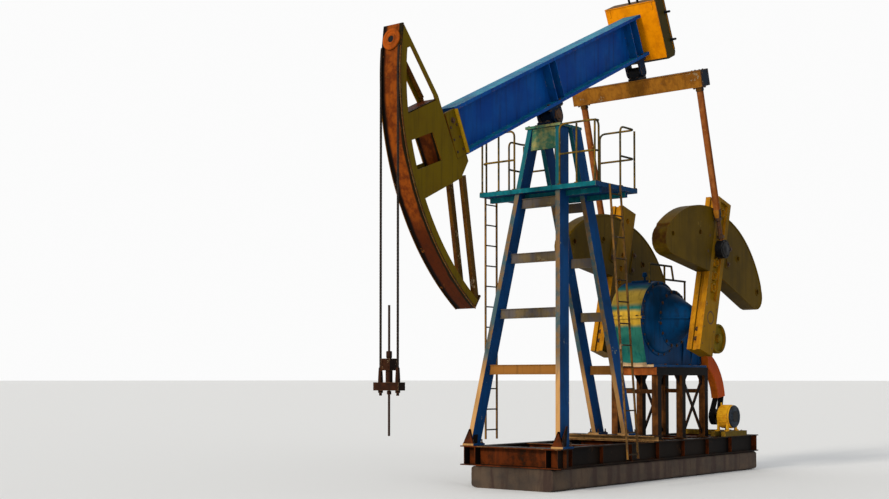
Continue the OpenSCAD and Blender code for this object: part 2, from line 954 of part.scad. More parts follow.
// The ropes' stretch that lies on the arc, from where they leave it up to the disc
module arc_ropes() {
    color("#2a2622")
        in_beam_frame()
            for (side = [near, far])
                translate([0, side * rope_y, 0])
                    rotate([90, 0, 0])
                        rotate([0, 0, 180 - arc_up])
                            rotate_extrude(angle = arc_up - beam_tilt)
                                translate([rope_arc_r, 0])
                                    circle(r = rope_r, $fn = 24);
}

// Pitmans and equalizer

eq_top = -130;
eq_low = eq_top - 280;
// distance from the crank pin to the lower end of the pitman's pipe
stud_len = 590;
pin_bearing_r = 160;

module equalizer_beam() {
    color("#c47a1e")
        in_pitman_frame()
            block([-140, -equalizer_half, eq_low], [140, equalizer_half, eq_top]);
}

module equalizer_bearing() {
    color("#23303a")
        in_pitman_frame()
            pillow_block(85, -eq_top, 105, 130, tail_pin_r);
}

// One pitman: pipe from the equalizer, and the stud that enters the pin bearing
module pitman(side) {
    pipe_low = -pitman_len + stud_len;
    in_pitman_frame()
        translate([0, side * pitman_y, 0]) {
            translate([0, 0, pipe_low])
                cylinder(r = pitman_r, h = eq_low - pipe_low);
            translate([0, 0, -pitman_len + pin_bearing_r])
                cylinder(r = 35, h = stud_len - pin_bearing_r);
        }
}

module pitman_near() {
    color("#c4682a")
        pitman(near);
}

module pitman_far() {
    color("#c4682a")
        pitman(far);
}

module pin_bearings() {
    color("#1c1f22")
        in_pitman_frame()
            for (side = [near, far]) {
                y0 = side * pitman_y - pin_bearing_w / 2;
                cross_cylinder(0, -pitman_len, pin_bearing_r, y0, y0 + pin_bearing_w);
            }
}

// Crankshaft, cranks and counterweights

module crank_shaft() {
    color("#5d5648")
        in_crank_frame()
            cross_cylinder(0, 0, shaft_r, -crank_out_y, crank_out_y);
}

// Crank arm on one side, with its grooved edges and its row of pin holes
module crank(side) {
    in_y = side > 0 ? crank_in_y : -crank_out_y;
    out_y = side > 0 ? crank_out_y : -crank_out_y;
    recess_d = 50;
    groove = 44;
    in_crank_frame()
        difference() {
            block([-arm_w / 2, in_y, -arm_back], [arm_w / 2, in_y + crank_t, arm_out]);
            cross_cylinder(0, 0, shaft_r + seat_gap, in_y - 1, in_y + crank_t + 1);
            translate([0, out_y, (arm_out + 250) / 2])
                cube([250, 2 * recess_d, arm_out - 250 - 2 * 60], center = true);
            for (edge = [-1, 1])
                translate([edge * arm_w / 2, side * crank_mid_y, (arm_out - arm_back) / 2])
                    cube([2 * groove, 70, arm_out + arm_back + 2], center = true);
            for (u = [540, 750, 990, crank_radius, 1900])
                cross_cylinder(0, u, 55, in_y - 1, in_y + crank_t + 1);
        }
}

module crank_near() {
    color("#b98f1d")
        crank(near);
}

module crank_far() {
    color("#b98f1d")
        crank(far);
}

// Outline of one counterweight wing beside the arm, toward +x
module wing_outline() {
    edge = arm_w / 2;
    intersection() {
        translate([150, -100])
            circle(r = weight_r, $fn = 96);
        polygon([[edge, 2100], [edge, 760], [1480, 632], [1590, 640], [1680, 674],
            [1744, 735], [1777, 815], [1780, 900], [1754, 983], [1700, 1062], [1700, 2100]]);
    }
}

// Two wings on one crank, one on each edge of the arm
module weights(side) {
    y0 = side * crank_mid_y - weight_t / 2;
    in_crank_frame()
        for (turn = [0, 1])
            difference() {
                side_plate(y0, y0 + weight_t)
                    mirror([turn, 0])
                        wing_outline();
                for (hole = [[1560, 960], [700, 1300]])
                    cross_cylinder((turn > 0 ? -1 : 1) * hole[0], hole[1], 42,
                        y0 - 1, y0 + weight_t + 1);
            }
}

module weights_near() {
    color("#6f6412")
        weights(near);
}

module weights_far() {
    color("#6f6412")
        weights(far);
}

// Carrier, ropes and rod

module bridle_ropes() {
    color("#2a2622")
        for (side = [near, far])
            translate([-rope_arc_r, side * rope_y, carrier_z + carrier_h])
                cylinder(r = rope_r, h = pivot_z - rope_end_gap - carrier_z - carrier_h,
                    $fn = 24);
}

module carrier_bar() {
    color("#3a2a1c")
        difference() {
            block([-rope_arc_r - 70, -225, carrier_z], [-rope_arc_r + 70, 225,
                carrier_z + carrier_h]);
            translate([-rope_arc_r, 0, carrier_z - 1])
                cylinder(r = rod_r + seat_gap, h = carrier_h + 2);
        }
}

module rod_clamp() {
    color("#2b2b30")
        translate([-rope_arc_r, 0, 0])
            difference() {
                union() {
                    block([-80, -80, 1780], [80, 80, 1940]);
                    translate([0, 0, carrier_z + carrier_h])
                        cylinder(r = 48, h = 160);
                }
                translate([0, 0, carrier_z])
                    cylinder(r = rod_r + seat_gap, h = 600);
            }
}

module polished_rod() {
    color("#4a3a2c")
        translate([-rope_arc_r, 0, rod_low_z])
            cylinder(r = rod_r, h = rod_top_z - rod_low_z);
}

concrete_base();
skid_rails();
skid_cross_beams();
tower_front_legs();
tower_rear_legs();
front_braces();
rear_braces();
tower_head();
saddle_bearing();
platform_deck();
railing_near();
railing_far();
ladder_near();
ladder_far();
gearbox_stand();
gearbox_case();
gearbox_rails();
brake_drum();
belt_guard();
drive_belt();
motor_mount();
motor_body();
walking_beam();
saddle_clamp();
tail_bracket();
tail_box();
head_face();
head_cheek_near();
head_cheek_far();
head_box();
head_struts();
head_link();
arc_ropes();
equalizer_beam();
equalizer_bearing();
pitman_near();
pitman_far();
pin_bearings();
crank_shaft();
crank_near();
crank_far();
weights_near();
weights_far();
bridle_ropes();
carrier_bar();
rod_clamp();
polished_rod();
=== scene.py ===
"""Dresses the beam pumping unit: worn paint with painted light and shade, twisted ropes, bolts,
ribs, rims and rails.

Lengths are metres. +X runs to the tail, +Z is up, and the side toward -Y is called near.
Each new surface is worked out with numpy, as a grid of two parameters, a profile that is
turned round an axis, or an outline that is carried along a path.
"""
import math

import bmesh
import bpy
import numpy as np
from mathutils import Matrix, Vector


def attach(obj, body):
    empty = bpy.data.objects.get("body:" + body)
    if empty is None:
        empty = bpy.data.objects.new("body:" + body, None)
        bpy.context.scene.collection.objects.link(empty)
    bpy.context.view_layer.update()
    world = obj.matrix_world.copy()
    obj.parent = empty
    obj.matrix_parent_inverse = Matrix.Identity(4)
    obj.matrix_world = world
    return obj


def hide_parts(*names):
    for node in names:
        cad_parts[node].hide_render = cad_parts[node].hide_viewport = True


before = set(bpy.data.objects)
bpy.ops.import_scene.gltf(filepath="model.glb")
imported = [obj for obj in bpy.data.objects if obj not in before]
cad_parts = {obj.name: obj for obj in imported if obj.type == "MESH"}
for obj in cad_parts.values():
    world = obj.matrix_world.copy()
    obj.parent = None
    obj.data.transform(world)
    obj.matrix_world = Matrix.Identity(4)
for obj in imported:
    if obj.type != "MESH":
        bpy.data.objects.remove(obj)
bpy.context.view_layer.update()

ROOT = "frame_and_tower"
BEAM = "beam_and_head"
PITMANS = "pitmans_and_equalizer"
CRANKS = "cranks_and_weights"
CARRIER = "carrier_and_rod"
SIDES = (-1, 1)

# ---- Sizes shared with the frame ----

# Skid, tower and platform
ANCHOR_X = (-0.3, 0.9, 2.2, 3.0, 3.8, 5.1)
FRONT_FOOT_X, FRONT_FOOT_Y, FRONT_FOOT_Z = -0.9, 0.83, 0.67
REAR_FOOT_X, REAR_FOOT_Y, REAR_FOOT_Z = 1.8, 0.29, 0.77
FRONT_TOP_X, FRONT_TOP_Y = -0.06, 0.265
BRACE_Z, BRACE_STEP, BRACES = 1.81, 0.87, 4
CONCRETE_TOP, SEAT_TOP, SKID_TOP = 0.34, 0.355, 0.64
TOWER_TOP = 5.6
DECK_Z = 4.64
DECK_FRONT, DECK_REAR, DECK_EDGE, DECK_INNER = -0.368, 0.768, 1.068, 0.43
RAIL_TOP, RAIL_MID = DECK_Z + 0.93, DECK_Z + 0.47
PIPE_R = 0.016
# Gearbox, stand and motor
DOME_X, DOME_Z = 2.86, 2.7
CASE_HALF, BOSS_Y, CONE_Y = 0.3, 0.385, 0.43
FLANGE_TOP, CASE_FOOT_TOP = 2.73, 1.91
STAND_X, STAND_Y, STAND_PLATE_TOP = (2.56, 3.39, 4.2), 0.4, 0.655
MOTOR_X, MOTOR_Z = 4.65, 0.99
INPUT_X, INPUT_Z = 4.43, 2.39
ARM_X, ARM_Z = INPUT_X - 0.5, INPUT_Z - 1.17
# Beam, head and ropes
PIVOT_Z = 5.8
BEAM_TILT = 25.4
SHAFT_X, SHAFT_Z = 3.19, 2.71
CRANK_ANGLE = 15
PITMAN_LEAN = 16.3
PITMAN_LEN = 3.2
TAIL_X, TAIL_DROP = 2.86, 0.062
ROPE_ARC_R = 3.8
ROPE_R = 0.017
ROPE_Y = 0.155
HEAD_HALF = 0.175
FACE_R = ROPE_ARC_R - ROPE_R - 0.0003
CHEEK_R = FACE_R - 0.025
RIM_IN_R = CHEEK_R - 0.11
ARC_UP, ARC_DOWN = 31.0, 30.2
CAP_A = 0.4 - ARC_DOWN
BOSS_TOP = FACE_R + 0.018
TAIL_FRONT, TAIL_REAR, TAIL_HALF = 3.14, 3.47, 0.49
BAR_LOW, BAR_TOP = 1.51, 1.62
# Pitmans, equalizer, cranks and weights
PITMAN_Y = 1.155
EQ_TOP, EQ_LOW, EQ_HALF = -0.13, -0.41, 1.28
CRANK_OUT_Y, CRANK_MID_Y = 1.09, 0.965
CRANK_RECESS = 0.05
PIN_HOLES = (0.54, 0.75, 0.99, 1.23, 1.9)
WEIGHT_HALF = 0.125
# The pitmans sweep past the cranks, so there nothing stands out further than this
PROUD = 0.002


# ---- Surfaces ----

class Shape:
    """Points, the quads between them, and flat many-sided faces that close its ends."""

    def __init__(self, points, quads, ends=()):
        self.points = np.asarray(points, float).reshape(-1, 3)
        self.quads = np.asarray(quads, int).reshape(-1, 4)
        self.ends = [np.asarray(e, int) for e in ends]


def joined(shapes):
    """Several shapes as one, with each shape's point numbers moved past the last one's."""
    shapes = list(shapes)
    starts = np.cumsum([0] + [len(s.points) for s in shapes[:-1]])
    return Shape(np.concatenate([s.points for s in shapes]),
                 np.concatenate([s.quads + k for s, k in zip(shapes, starts)]),
                 [e + k for s, k in zip(shapes, starts) for e in s.ends])


def moved(shape, matrix):
    """A shape with a 4 x 4 matrix applied to its points."""
    matrix = np.asarray(matrix, float)
    return Shape(shape.points @ matrix[:3, :3].T + matrix[:3, 3], shape.quads, shape.ends)


def copies(shape, matrices):
    """One shape at many places: every matrix times every point, as one array."""
    m = np.asarray(matrices, float)
    n = len(shape.points)
    points = np.einsum("kij,nj->kni", m[:, :3, :3], shape.points) + m[:, None, :3, 3]
    step = np.arange(len(m)) * n
    quads = shape.quads[None] + step[:, None, None]
    ends = [e + k for k in step for e in shape.ends]
    return Shape(points, quads, ends)


def grid(points, wrap_rows=False, close=False):
    """Quads over rows of points, each row a ring; wrap_rows joins the last row to the first,
    and close fills the end rows."""
    rows, cols = points.shape[:2]
    i, j = np.meshgrid(np.arange(rows - (not wrap_rows)), np.arange(cols), indexing="ij")
    k, l = (i + 1) % rows, (j + 1) % cols
    quads = np.stack([i * cols + j, i * cols + l, k * cols + l, k * cols + j], -1)
    ends = [np.arange(cols)[::-1], (rows - 1) * cols + np.arange(cols)] if close else []
    return Shape(points, quads, ends)


def turned(profile, sides=32, loop=False):
    """A profile of (radius, height) turned round the z axis:
    point (i, j) = (radius_i cos a_j, radius_i sin a_j, height_i)."""
    profile = np.asarray(profile, float)
    a = np.arange(sides) * 2 * np.pi / sides
    ring = np.stack([np.cos(a), np.sin(a), 0 * a], -1)
    points = profile[:, 0, None, None] * ring + profile[:, 1, None, None] * [0, 0, 1]
    return grid(points, wrap_rows=loop)


def carried(outline, path, up=(0, 0, 1)):
    """A closed outline (a, b) carried along a path, one for all of it or one at each point:
    point (i, j) = path_i + a_j side_i + b_j rise_i, with side = along x up."""
    outline, path = np.asarray(outline, float), np.asarray(path, float)
    along = np.gradient(path, axis=0)
    along /= np.linalg.norm(along, axis=1, keepdims=True)
    side = np.cross(along, np.broadcast_to(np.asarray(up, float), path.shape))
    side /= np.linalg.norm(side, axis=1, keepdims=True)
    rise = np.cross(side, along)
    points = path[:, None] + outline[..., :1] * side[:, None] + outline[..., 1:] * rise[:, None]
    return grid(points, close=True)


def round_outline(r, sides=16):
    """A circle of radius r as an outline."""
    a = np.arange(sides) * 2 * np.pi / sides
    return np.stack([r * np.cos(a), r * np.sin(a)], -1)


def flat_outline(width, height):
    """A rectangle centred on the origin as an outline."""
    w, h = width / 2, height / 2
    return np.array([[-w, -h], [w, -h], [w, h], [-w, h]])


def slab(low, high):
    """A box from its lowest to its highest corner, as an outline carried one step."""
    low, high = np.minimum(low, high), np.maximum(low, high)
    mid, size = (low + high) / 2, high - low
    path = [[low[0], mid[1], mid[2]], [high[0], mid[1], mid[2]]]
    return carried(flat_outline(size[1], size[2]), path)


def plate(outline, y0, y1):
    """A plate cut to an outline of (x, z) points, from y0 to y1 across the unit."""
    outline = np.asarray(outline, float)
    rows = [np.stack([outline[:, 0], np.full(len(outline), y), outline[:, 1]], -1)
            for y in (y0, y1)]
    return grid(np.stack(rows), close=True)


def strip(points, y0, y1, thickness):
    """A flat strip that follows an open line of (x, z) points, from y0 to y1 across."""
    line = np.asarray(points, float)
    path = np.stack([line[:, 0], np.full(len(line), (y0 + y1) / 2), line[:, 1]], -1)
    return carried(flat_outline(thickness, abs(y1 - y0)), path, up=(0, 1, 0))


def bent(corners, radius, steps=8):
    """A line through corners, each rounded by a quadratic curve that leaves it radius before
    and after: (1-t)^2 a + 2 t (1-t) corner + t^2 b."""
    corners = np.asarray(corners, float)
    t = np.linspace(0, 1, steps)[:, None]
    parts = [corners[:1]]
    for before, corner, after in zip(corners[:-2], corners[1:-1], corners[2:]):
        a = corner + radius * (before - corner) / np.linalg.norm(before - corner)
        b = corner + radius * (after - corner) / np.linalg.norm(after - corner)
        parts.append((1 - t) ** 2 * a + 2 * t * (1 - t) * corner + t ** 2 * b)
    return np.concatenate(parts + [corners[-1:]])


def pipe(path, r, sides=14):
    """A round pipe along a path, with its up axis chosen well away from the path's own way."""
    path = np.asarray(path, float)
    along = np.gradient(path, axis=0)
    mean = along.mean(0) / max(np.linalg.norm(along.mean(0)), 1e-9)
    trial = np.eye(3)
    spread = [np.abs(along @ axis / np.linalg.norm(along, axis=1)).max() for axis in trial]
    up = trial[int(np.argmin(spread))] if min(spread) < 0.95 else np.cross(mean, [0.3, 0.5, 0.8])
    return carried(round_outline(r, sides), path, up=up)


# ---- Places ----

def lean(origin, degrees):
    """The matrix of a frame at origin, turned about the y axis."""
    a = math.radians(degrees)
    m = np.eye(4)
    m[:3, :3] = [[math.cos(a), 0, math.sin(a)], [0, 1, 0], [-math.sin(a), 0, math.cos(a)]]
    m[:3, 3] = origin
    return m


def facing(points, normal):
    """Matrices that stand a shape's z axis along normal at each of the points."""
    points, n = np.asarray(points, float).reshape(-1, 3), np.asarray(normal, float)
    n = n / np.linalg.norm(n)
    x = np.cross([0, 1, 0] if abs(n[1]) < 0.9 else [0, 0, 1], n)
    x /= np.linalg.norm(x)
    m = np.tile(np.eye(4), (len(points), 1, 1))
    m[:, :3, :3] = np.stack([x, np.cross(n, x), n], -1)
    m[:, :3, 3] = points
    return m


def stood(shape, place, normal=(0, 0, 1)):
    """One shape with its z axis along normal, at one place."""
    return moved(shape, facing([place], normal)[0])


def ring_points(x, z, y, r, count, start=0):
    """Points on a circle in a plane across y."""
    a = np.radians(start) + np.arange(count) * 2 * np.pi / count
    return np.stack([x + r * np.cos(a), np.full(count, y), z + r * np.sin(a)], -1)


# Pieces of these bodies are drawn upright or level round their joint, then leaned into place
in_beam = lean((0, 0, PIVOT_Z), -BEAM_TILT)
tail_pin = in_beam @ [TAIL_X, 0, -TAIL_DROP, 1]
BODY_FRAMES = {BEAM: in_beam, CRANKS: lean((SHAFT_X, 0, SHAFT_Z), CRANK_ANGLE),
               PITMANS: lean(tail_pin[:3], -PITMAN_LEAN)}


def hex_bolt(r):
    """A hexagon head with a chamfer on a round washer, standing on z = 0."""
    head = turned([(0, 0.9 * r), (0.86 * r, 0.9 * r), (r, 0.75 * r), (r, 0)], 6)
    washer = turned([(0, 0.22 * r), (1.5 * r, 0.22 * r), (1.5 * r, -0.1 * r)], 14)
    return joined([head, washer])


def stud_nut(r, reach):
    """A nut and washer on a threaded stud that stands reach above the seat."""
    turns = max(3, int(reach / (0.35 * r)))
    z = np.linspace(0, reach, 2 * turns)
    thread = [(0.55 * r + 0.05 * r * (-1) ** k, h) for k, h in enumerate(z)]
    return joined([hex_bolt(r), turned(thread + [(0.45 * r, reach + 0.1 * r),
                                                 (0, reach + 0.1 * r)], 12)])


def bolts(points, normal, r):
    """Hexagon bolts at the points, standing along normal."""
    return copies(hex_bolt(r), facing(points, normal))


# ---- Paints ----

def linear(colour):
    """An sRGB colour, written as six hex digits, as linear light with alpha."""
    c = np.array([int(colour[i:i + 2], 16) / 255 for i in (0, 2, 4)])
    c = np.where(c <= 0.04045, c / 12.92, ((c + 0.055) / 1.055) ** 2.4)
    return (*c, 1)


class Nodes:
    """A short way to add nodes: sockets given as values are linked, the rest are set."""

    def __init__(self, tree):
        self.tree = tree
        tree.nodes.clear()

    def add(self, kind, inputs=(), **settings):
        """A node of this kind, with its settings, and its inputs by name or number."""
        node = self.tree.nodes.new(kind)
        for key, value in settings.items():
            setattr(node, key, value)
        for key, value in dict(inputs).items():
            if isinstance(value, bpy.types.NodeSocket):
                self.tree.links.new(value, node.inputs[key])
            else:
                node.inputs[key].default_value = value
        return node

    def noise(self, coordinate, scale, detail=4, rough=0.55, stretch=None):
        """Cloudy noise; stretch packs it closer along each axis."""
        if stretch:
            coordinate = self.add("ShaderNodeMapping",
                                  {"Vector": coordinate, "Scale": stretch}).outputs[0]
        return self.add("ShaderNodeTexNoise", {"Vector": coordinate, "Scale": scale,
                        "Detail": detail, "Roughness": rough}).outputs[0]

    def math(self, operation, a, b=0.0):
        """One sum, product or other operation on two values."""
        return self.add("ShaderNodeMath", {0: a, 1: b}, operation=operation).outputs[0]

    def weighted(self, *terms):
        """The sum of values times their weights, given in pairs."""
        products = [self.math("MULTIPLY", value, weight) for value, weight in terms]
        total = products[0]
        for product in products[1:]:
            total = self.math("ADD", total, product)
        return total

    def step(self, value, low, high):
        """0 below low, 1 above high, and smooth between."""
        return self.add("ShaderNodeMapRange", {"Value": value, "From Min": low, "From Max": high},
                        interpolation_type="SMOOTHSTEP").outputs[0]

    def mix(self, factor, a, b):
        """Colour a where factor is 0, and colour b where it is 1."""
        return self.add("ShaderNodeMix", {"Factor": factor, 6: a, 7: b},
                        data_type="RGBA").outputs[2]


def new_paint(name):
    """A new node material, the means to add to it, and its texture coordinates."""
    material = bpy.data.materials.new(name)
    material.use_nodes = True
    g = Nodes(material.node_tree)
    return material, g, g.add("ShaderNodeTexCoord").outputs


def finished(g, colour, roughness, height, strength, distance, **constants):
    """Ends a material: a shader with relief, and constants such as Metallic on its sockets."""
    relief = g.add("ShaderNodeBump", {"Height": height, "Strength": strength,
                                      "Distance": distance}).outputs[0]
    shader = g.add("ShaderNodeBsdfPrincipled", {"Base Color": colour, "Roughness": roughness,
                                                "Normal": relief, **constants})
    g.add("ShaderNodeOutputMaterial", {"Surface": shader.outputs[0]})


def worn_paint(name, colour, faded, painted_sunlit=None, rust=0.3, rust_dark="2a140c", rust_light="8a4519",
               primer="8d7a5c", gloss=0.5, dirt=0.35, blotch=5.0, light_side=(-1, 0, 0), lit_face_bands=(),
               painted_shade_strips=()):
    """Old paint: it fades in wide clouds, takes a painted sunlit tone on faces turned toward
    light_side (its own colours are those of the shaded side), runs with grime and rust, and chips
    to primer and rusty steel at edges and in patches. Lit face bands are level stripes (height,
    half width, colour) in the painted sunlit tone. Each painted shade strip is a darker colour
    that takes over across the unit, from y0 on to y1."""
    material, g, where = new_paint(name)
    at = where["Object"]
    clouds = g.noise(at, 0.9, 4, 0.6)
    patches = g.noise(at, blotch, 8, 0.68)
    grain = g.noise(at, 60, 5, 0.6)
    runs = g.noise(at, 1.0, 6, 0.6, stretch=(16, 16, 1.1))
    flow = g.noise(at, 1.0, 4, 0.6, stretch=(5, 5, 0.7))
    paint = g.mix(g.step(clouds, 0.38, 0.66), linear(colour), linear(faded))
    # Painted light: faces turned toward light_side take the sunlit tone instead of the shaded
    # colours
    if painted_sunlit:
        toward = g.add("ShaderNodeVectorMath", {0: where["Normal"], 1: light_side},
                       operation="DOT_PRODUCT").outputs["Value"]
        tone = g.mix(g.step(patches, 0.42, 0.6), linear(painted_sunlit[0]), linear(painted_sunlit[1]))
        # Level bands laid into the painted sunlit tone, such as the painted highlights on the
        # gearbox
        for height, half, shade in lit_face_bands:
            level = g.add("ShaderNodeSeparateXYZ", {0: at}).outputs[2]
            wavy = g.math("ADD", level, g.math("MULTIPLY", patches, 0.12))
            away = g.math("ABSOLUTE", g.math("SUBTRACT", wavy, height + 0.06))
            tone = g.mix(g.step(away, half * 1.2, half * 0.6), tone, linear(shade))
        paint = g.mix(g.step(toward, 0.35, 0.8), paint, tone)
    # Painted shade: strips across the unit that take a darker colour, as where the ropes shade the
    # head's face
    for y0, y1, shade in painted_shade_strips:
        across = g.add("ShaderNodeSeparateXYZ", {0: at}).outputs[1]
        across = g.math("ADD", across, g.math("MULTIPLY", g.math("SUBTRACT", flow, 0.5), 0.06))
        paint = g.mix(g.step(across, y0, y1), paint, linear(shade))
    dull = g.math("MULTIPLY", g.step(runs, 0.45, 0.75), dirt)
    paint = g.mix(dull, paint, linear("15120f"))
    soft_edge = g.add("ShaderNodeBevel", {"Radius": 0.014}, samples=4).outputs[0]
    plain = g.add("ShaderNodeNewGeometry").outputs["Normal"]
    dot = g.add("ShaderNodeVectorMath", {0: soft_edge, 1: plain},
                operation="DOT_PRODUCT").outputs["Value"]
    edge = g.step(g.math("SUBTRACT", 1.0, dot), 0.02, 0.3)
    wear = g.weighted((patches, 0.775), (flow, 0.225), (edge, 0.14), (grain, 0.06))
    start = 0.73 - 0.3 * rust
    chipped = g.step(wear, start, start + 0.02)
    rusty = g.step(wear, start + 0.02, start + 0.07)
    oxide = g.mix(g.step(grain, 0.35, 0.65), linear(rust_dark), linear(rust_light))
    paint = g.mix(chipped, paint, linear(primer))
    paint = g.mix(rusty, paint, oxide)
    rough = g.math("ADD", g.math("MULTIPLY", rusty, 0.85 - gloss),
                   g.math("ADD", gloss - 0.06, g.math("MULTIPLY", grain, 0.16)))
    height = g.weighted((chipped, -0.5), (grain, 0.35), (g.math("MULTIPLY", rusty, grain), 1.2))
    finished(g, paint, rough, height, 0.5, 0.003, **{"Specular IOR Level": 0.03})
    return material


def bare_metal(name, colour, stain, rough=0.4, scale=14.0, stretch=(1, 1, 1)):
    """Oiled or weathered steel: two tones in fine clouds, with a rubbed sheen."""
    material, g, where = new_paint(name)
    at = where["Object"]
    cloud = g.noise(at, scale, 6, 0.65, stretch=stretch)
    fine = g.noise(at, 140, 4, 0.6)
    tone = g.mix(g.step(cloud, 0.4, 0.62), linear(colour), linear(stain))
    dull = g.math("ADD", g.math("MULTIPLY", cloud, 0.35), rough - 0.1)
    finished(g, tone, dull, fine, 0.35, 0.0015,
             **{"Metallic": 0.3, "Specular IOR Level": 0.1})
    return material


def old_concrete(name):
    """Cast concrete: pale and dark clouds, pits, and oil that has run from the top."""
    material, g, where = new_paint(name)
    at = where["Object"]
    clouds = g.noise(at, 2.2, 7, 0.65)
    pits = g.noise(at, 38, 6, 0.7)
    runs = g.noise(at, 1.0, 5, 0.6, stretch=(5, 5, 0.8))
    tone = g.mix(g.step(clouds, 0.35, 0.7), linear("4c3b2b"), linear("32271e"))
    tone = g.mix(g.math("MULTIPLY", g.step(runs, 0.44, 0.62), 0.85), tone, linear("2a150b"))
    tone = g.mix(g.math("MULTIPLY", g.step(pits, 0.6, 0.72), 0.6), tone, linear("2b231b"))
    height = g.math("ADD", clouds, g.math("MULTIPLY", pits, 0.5))
    finished(g, tone, 0.92, height, 0.7, 0.008)
    return material


# Each paint's own colours are its shaded side's; its painted_sunlit pair is painted light on faces
# turned toward the light
beam_blue = worn_paint("beam_blue", "03357a", "0a4688", painted_sunlit=("0e5f86", "167a92"), rust=0.06,
                       gloss=0.42, dirt=0.4, light_side=(-0.8, 0, 0.6))
leg_blue = worn_paint("leg_blue", "0a3a6a", "082c50", painted_sunlit=("40565a", "7a5c3a"), rust=0.22,
                      primer="8f9077", dirt=0.3, blotch=2.6,
                      lit_face_bands=((1.05, 0.9, "b98a54"), (5.2, 0.7, "1c6068")))
brace_grey = worn_paint("brace_grey", "4a4a42", "3c4848", painted_sunlit=("5c5450", "6a5a40"), rust=0.3,
                        rust_light="8a5426", primer="8a7a58", blotch=3.4,
                        lit_face_bands=((1.78, 0.4, "93602a"),))
head_teal = worn_paint("head_teal", "16525c", "1c4850", painted_sunlit=("3c6e56", "98945c"), rust=0.34,
                       primer="b0985a", blotch=3.2)
bearing_blue = worn_paint("bearing_blue", "081628", "0c2238", rust=0.2, dirt=0.7)
deck_teal = worn_paint("deck_teal", "082c50", "0c3a5c", painted_sunlit=("0c5a62", "126870"), rust=0.18)
rail_green = worn_paint("rail_green", "26261e", "3c3620", painted_sunlit=("7a5c1e", "403a20"), rust=0.3)
ladder_tan = worn_paint("ladder_tan", "241c14", "352818", painted_sunlit=("7a5424", "463620"), rust=0.3)
stand_black = worn_paint("stand_black", "0c0c0e", "16120f", painted_sunlit=("583418", "7c4a20"), rust=0.22,
                         dirt=0.7, primer="2c2016")
stand_front_orange = worn_paint("stand_front_orange", "121010", "1c1815",
                                painted_sunlit=("b8622a", "9a4e20"), rust=0.22, dirt=0.35)
# Its lit face bands are painted highlights where the light falls across the gearbox's round front
gearbox_blue = worn_paint("gearbox_blue", "063e6c", "062f54", painted_sunlit=("247468", "3a8872"), rust=0.1,
                          dirt=0.45, gloss=0.4, blotch=2.2,
                          lit_face_bands=((3.05, 0.15, "b8963a"), (2.7, 0.14, "ecb83c"),
                                 (1.89, 0.05, "e0b888")))
# Painted shade: a copy of the gearbox blue with no sunlit tone and a darker fade
gearbox_painted_shade_blue = worn_paint("gearbox_painted_shade_blue", "053c66", "02233c", rust=0.12, dirt=0.5,
                               gloss=0.4)
drum_olive = worn_paint("drum_olive", "6e5a08", "584808", painted_sunlit=("a87618", "8f6214"), rust=0.2)
guard_orange = worn_paint("guard_orange", "a84416", "8c3812", painted_sunlit=("d06a1c", "c05c18"),
                          rust=0.14)
mount_yellow = worn_paint("mount_yellow", "5c4a14", "40340f", painted_sunlit=("98721c", "6a501a"),
                          rust=0.35)
motor_yellow = worn_paint("motor_yellow", "d89a14", "b0700c", painted_sunlit=("f8b828", "e89c20"), rust=0.1,
                          gloss=0.35, dirt=0.2)
tail_orange = worn_paint("tail_orange", "2e260c", "3a300c", painted_sunlit=("f09004", "dc8004"), rust=0.1,
                         dirt=0.12)
# The face's band is darker towards the bottom; its two strips are painted shade where the ropes
# shade the face's edges
head_rust = worn_paint("head_rust", "5a280a", "3c1a08", painted_sunlit=("86400e", "5e280a"), rust=0.3,
                       rust_dark="20100a", rust_light="8a4410", primer="6a3c10",
                       lit_face_bands=((3.1, 0.8, "4a1e08"),),
                       painted_shade_strips=((0.075, 0.125, "110906"), (-0.1, -0.125, "1c1608")))
boss_rust = worn_paint("boss_rust", "7e3c0e", "5c2c0c", painted_sunlit=("a04a10", "7c380e"), rust=0.3,
                       rust_dark="3c1a0a", rust_light="9a4a16", primer="a06c1c")
head_olive = worn_paint("head_olive", "5c4a04", "544004", painted_sunlit=("8a5c10", "744610"), rust=0.2,
                        rust_light="6a340c", primer="503a0c", blotch=3.0)
flange_yellow = worn_paint("flange_yellow", "7a6408", "5c4c08", painted_sunlit=("b8901c", "a07a18"),
                           rust=0.14)
strut_brown = worn_paint("strut_brown", "4c340a", "3c280a", painted_sunlit=("744a12", "5c3410"), rust=0.34)
# Painted shade: the equalizer's navy colours are its shaded side's; it is ochre only in the
# painted sunlit tone
equalizer_ochre = worn_paint("equalizer_ochre", "16202c", "242424", painted_sunlit=("96601c", "7c4c16"),
                             rust=0.32, rust_light="7c4414")
pitman_rust = worn_paint("pitman_rust", "643410", "7c4216", painted_sunlit=("94582a", "80441c"), rust=0.32,
                         rust_light="7c4018", primer="b07c3c")
crank_gold = worn_paint("crank_gold", "805c06", "664a06", painted_sunlit=("c08014", "a86c10"), rust=0.16)
weight_olive = worn_paint("weight_olive", "523e04", "423203", painted_sunlit=("6a500c", "4c2c0c"),
                          rust=0.22, blotch=3.2, primer="5c4a18")
# Painted light and shade near the ground: near-black shaded colours, and brown painted sunlit
# tones
near_ground = dict(painted_sunlit=("5c280c", "3c1c0a"), rust=0.36, rust_dark="150b06",
                   rust_light="4a240c", primer="2c1e14")
skid_brown = worn_paint("skid_brown", "0c0a0a", "18110c", dirt=0.6, **near_ground)
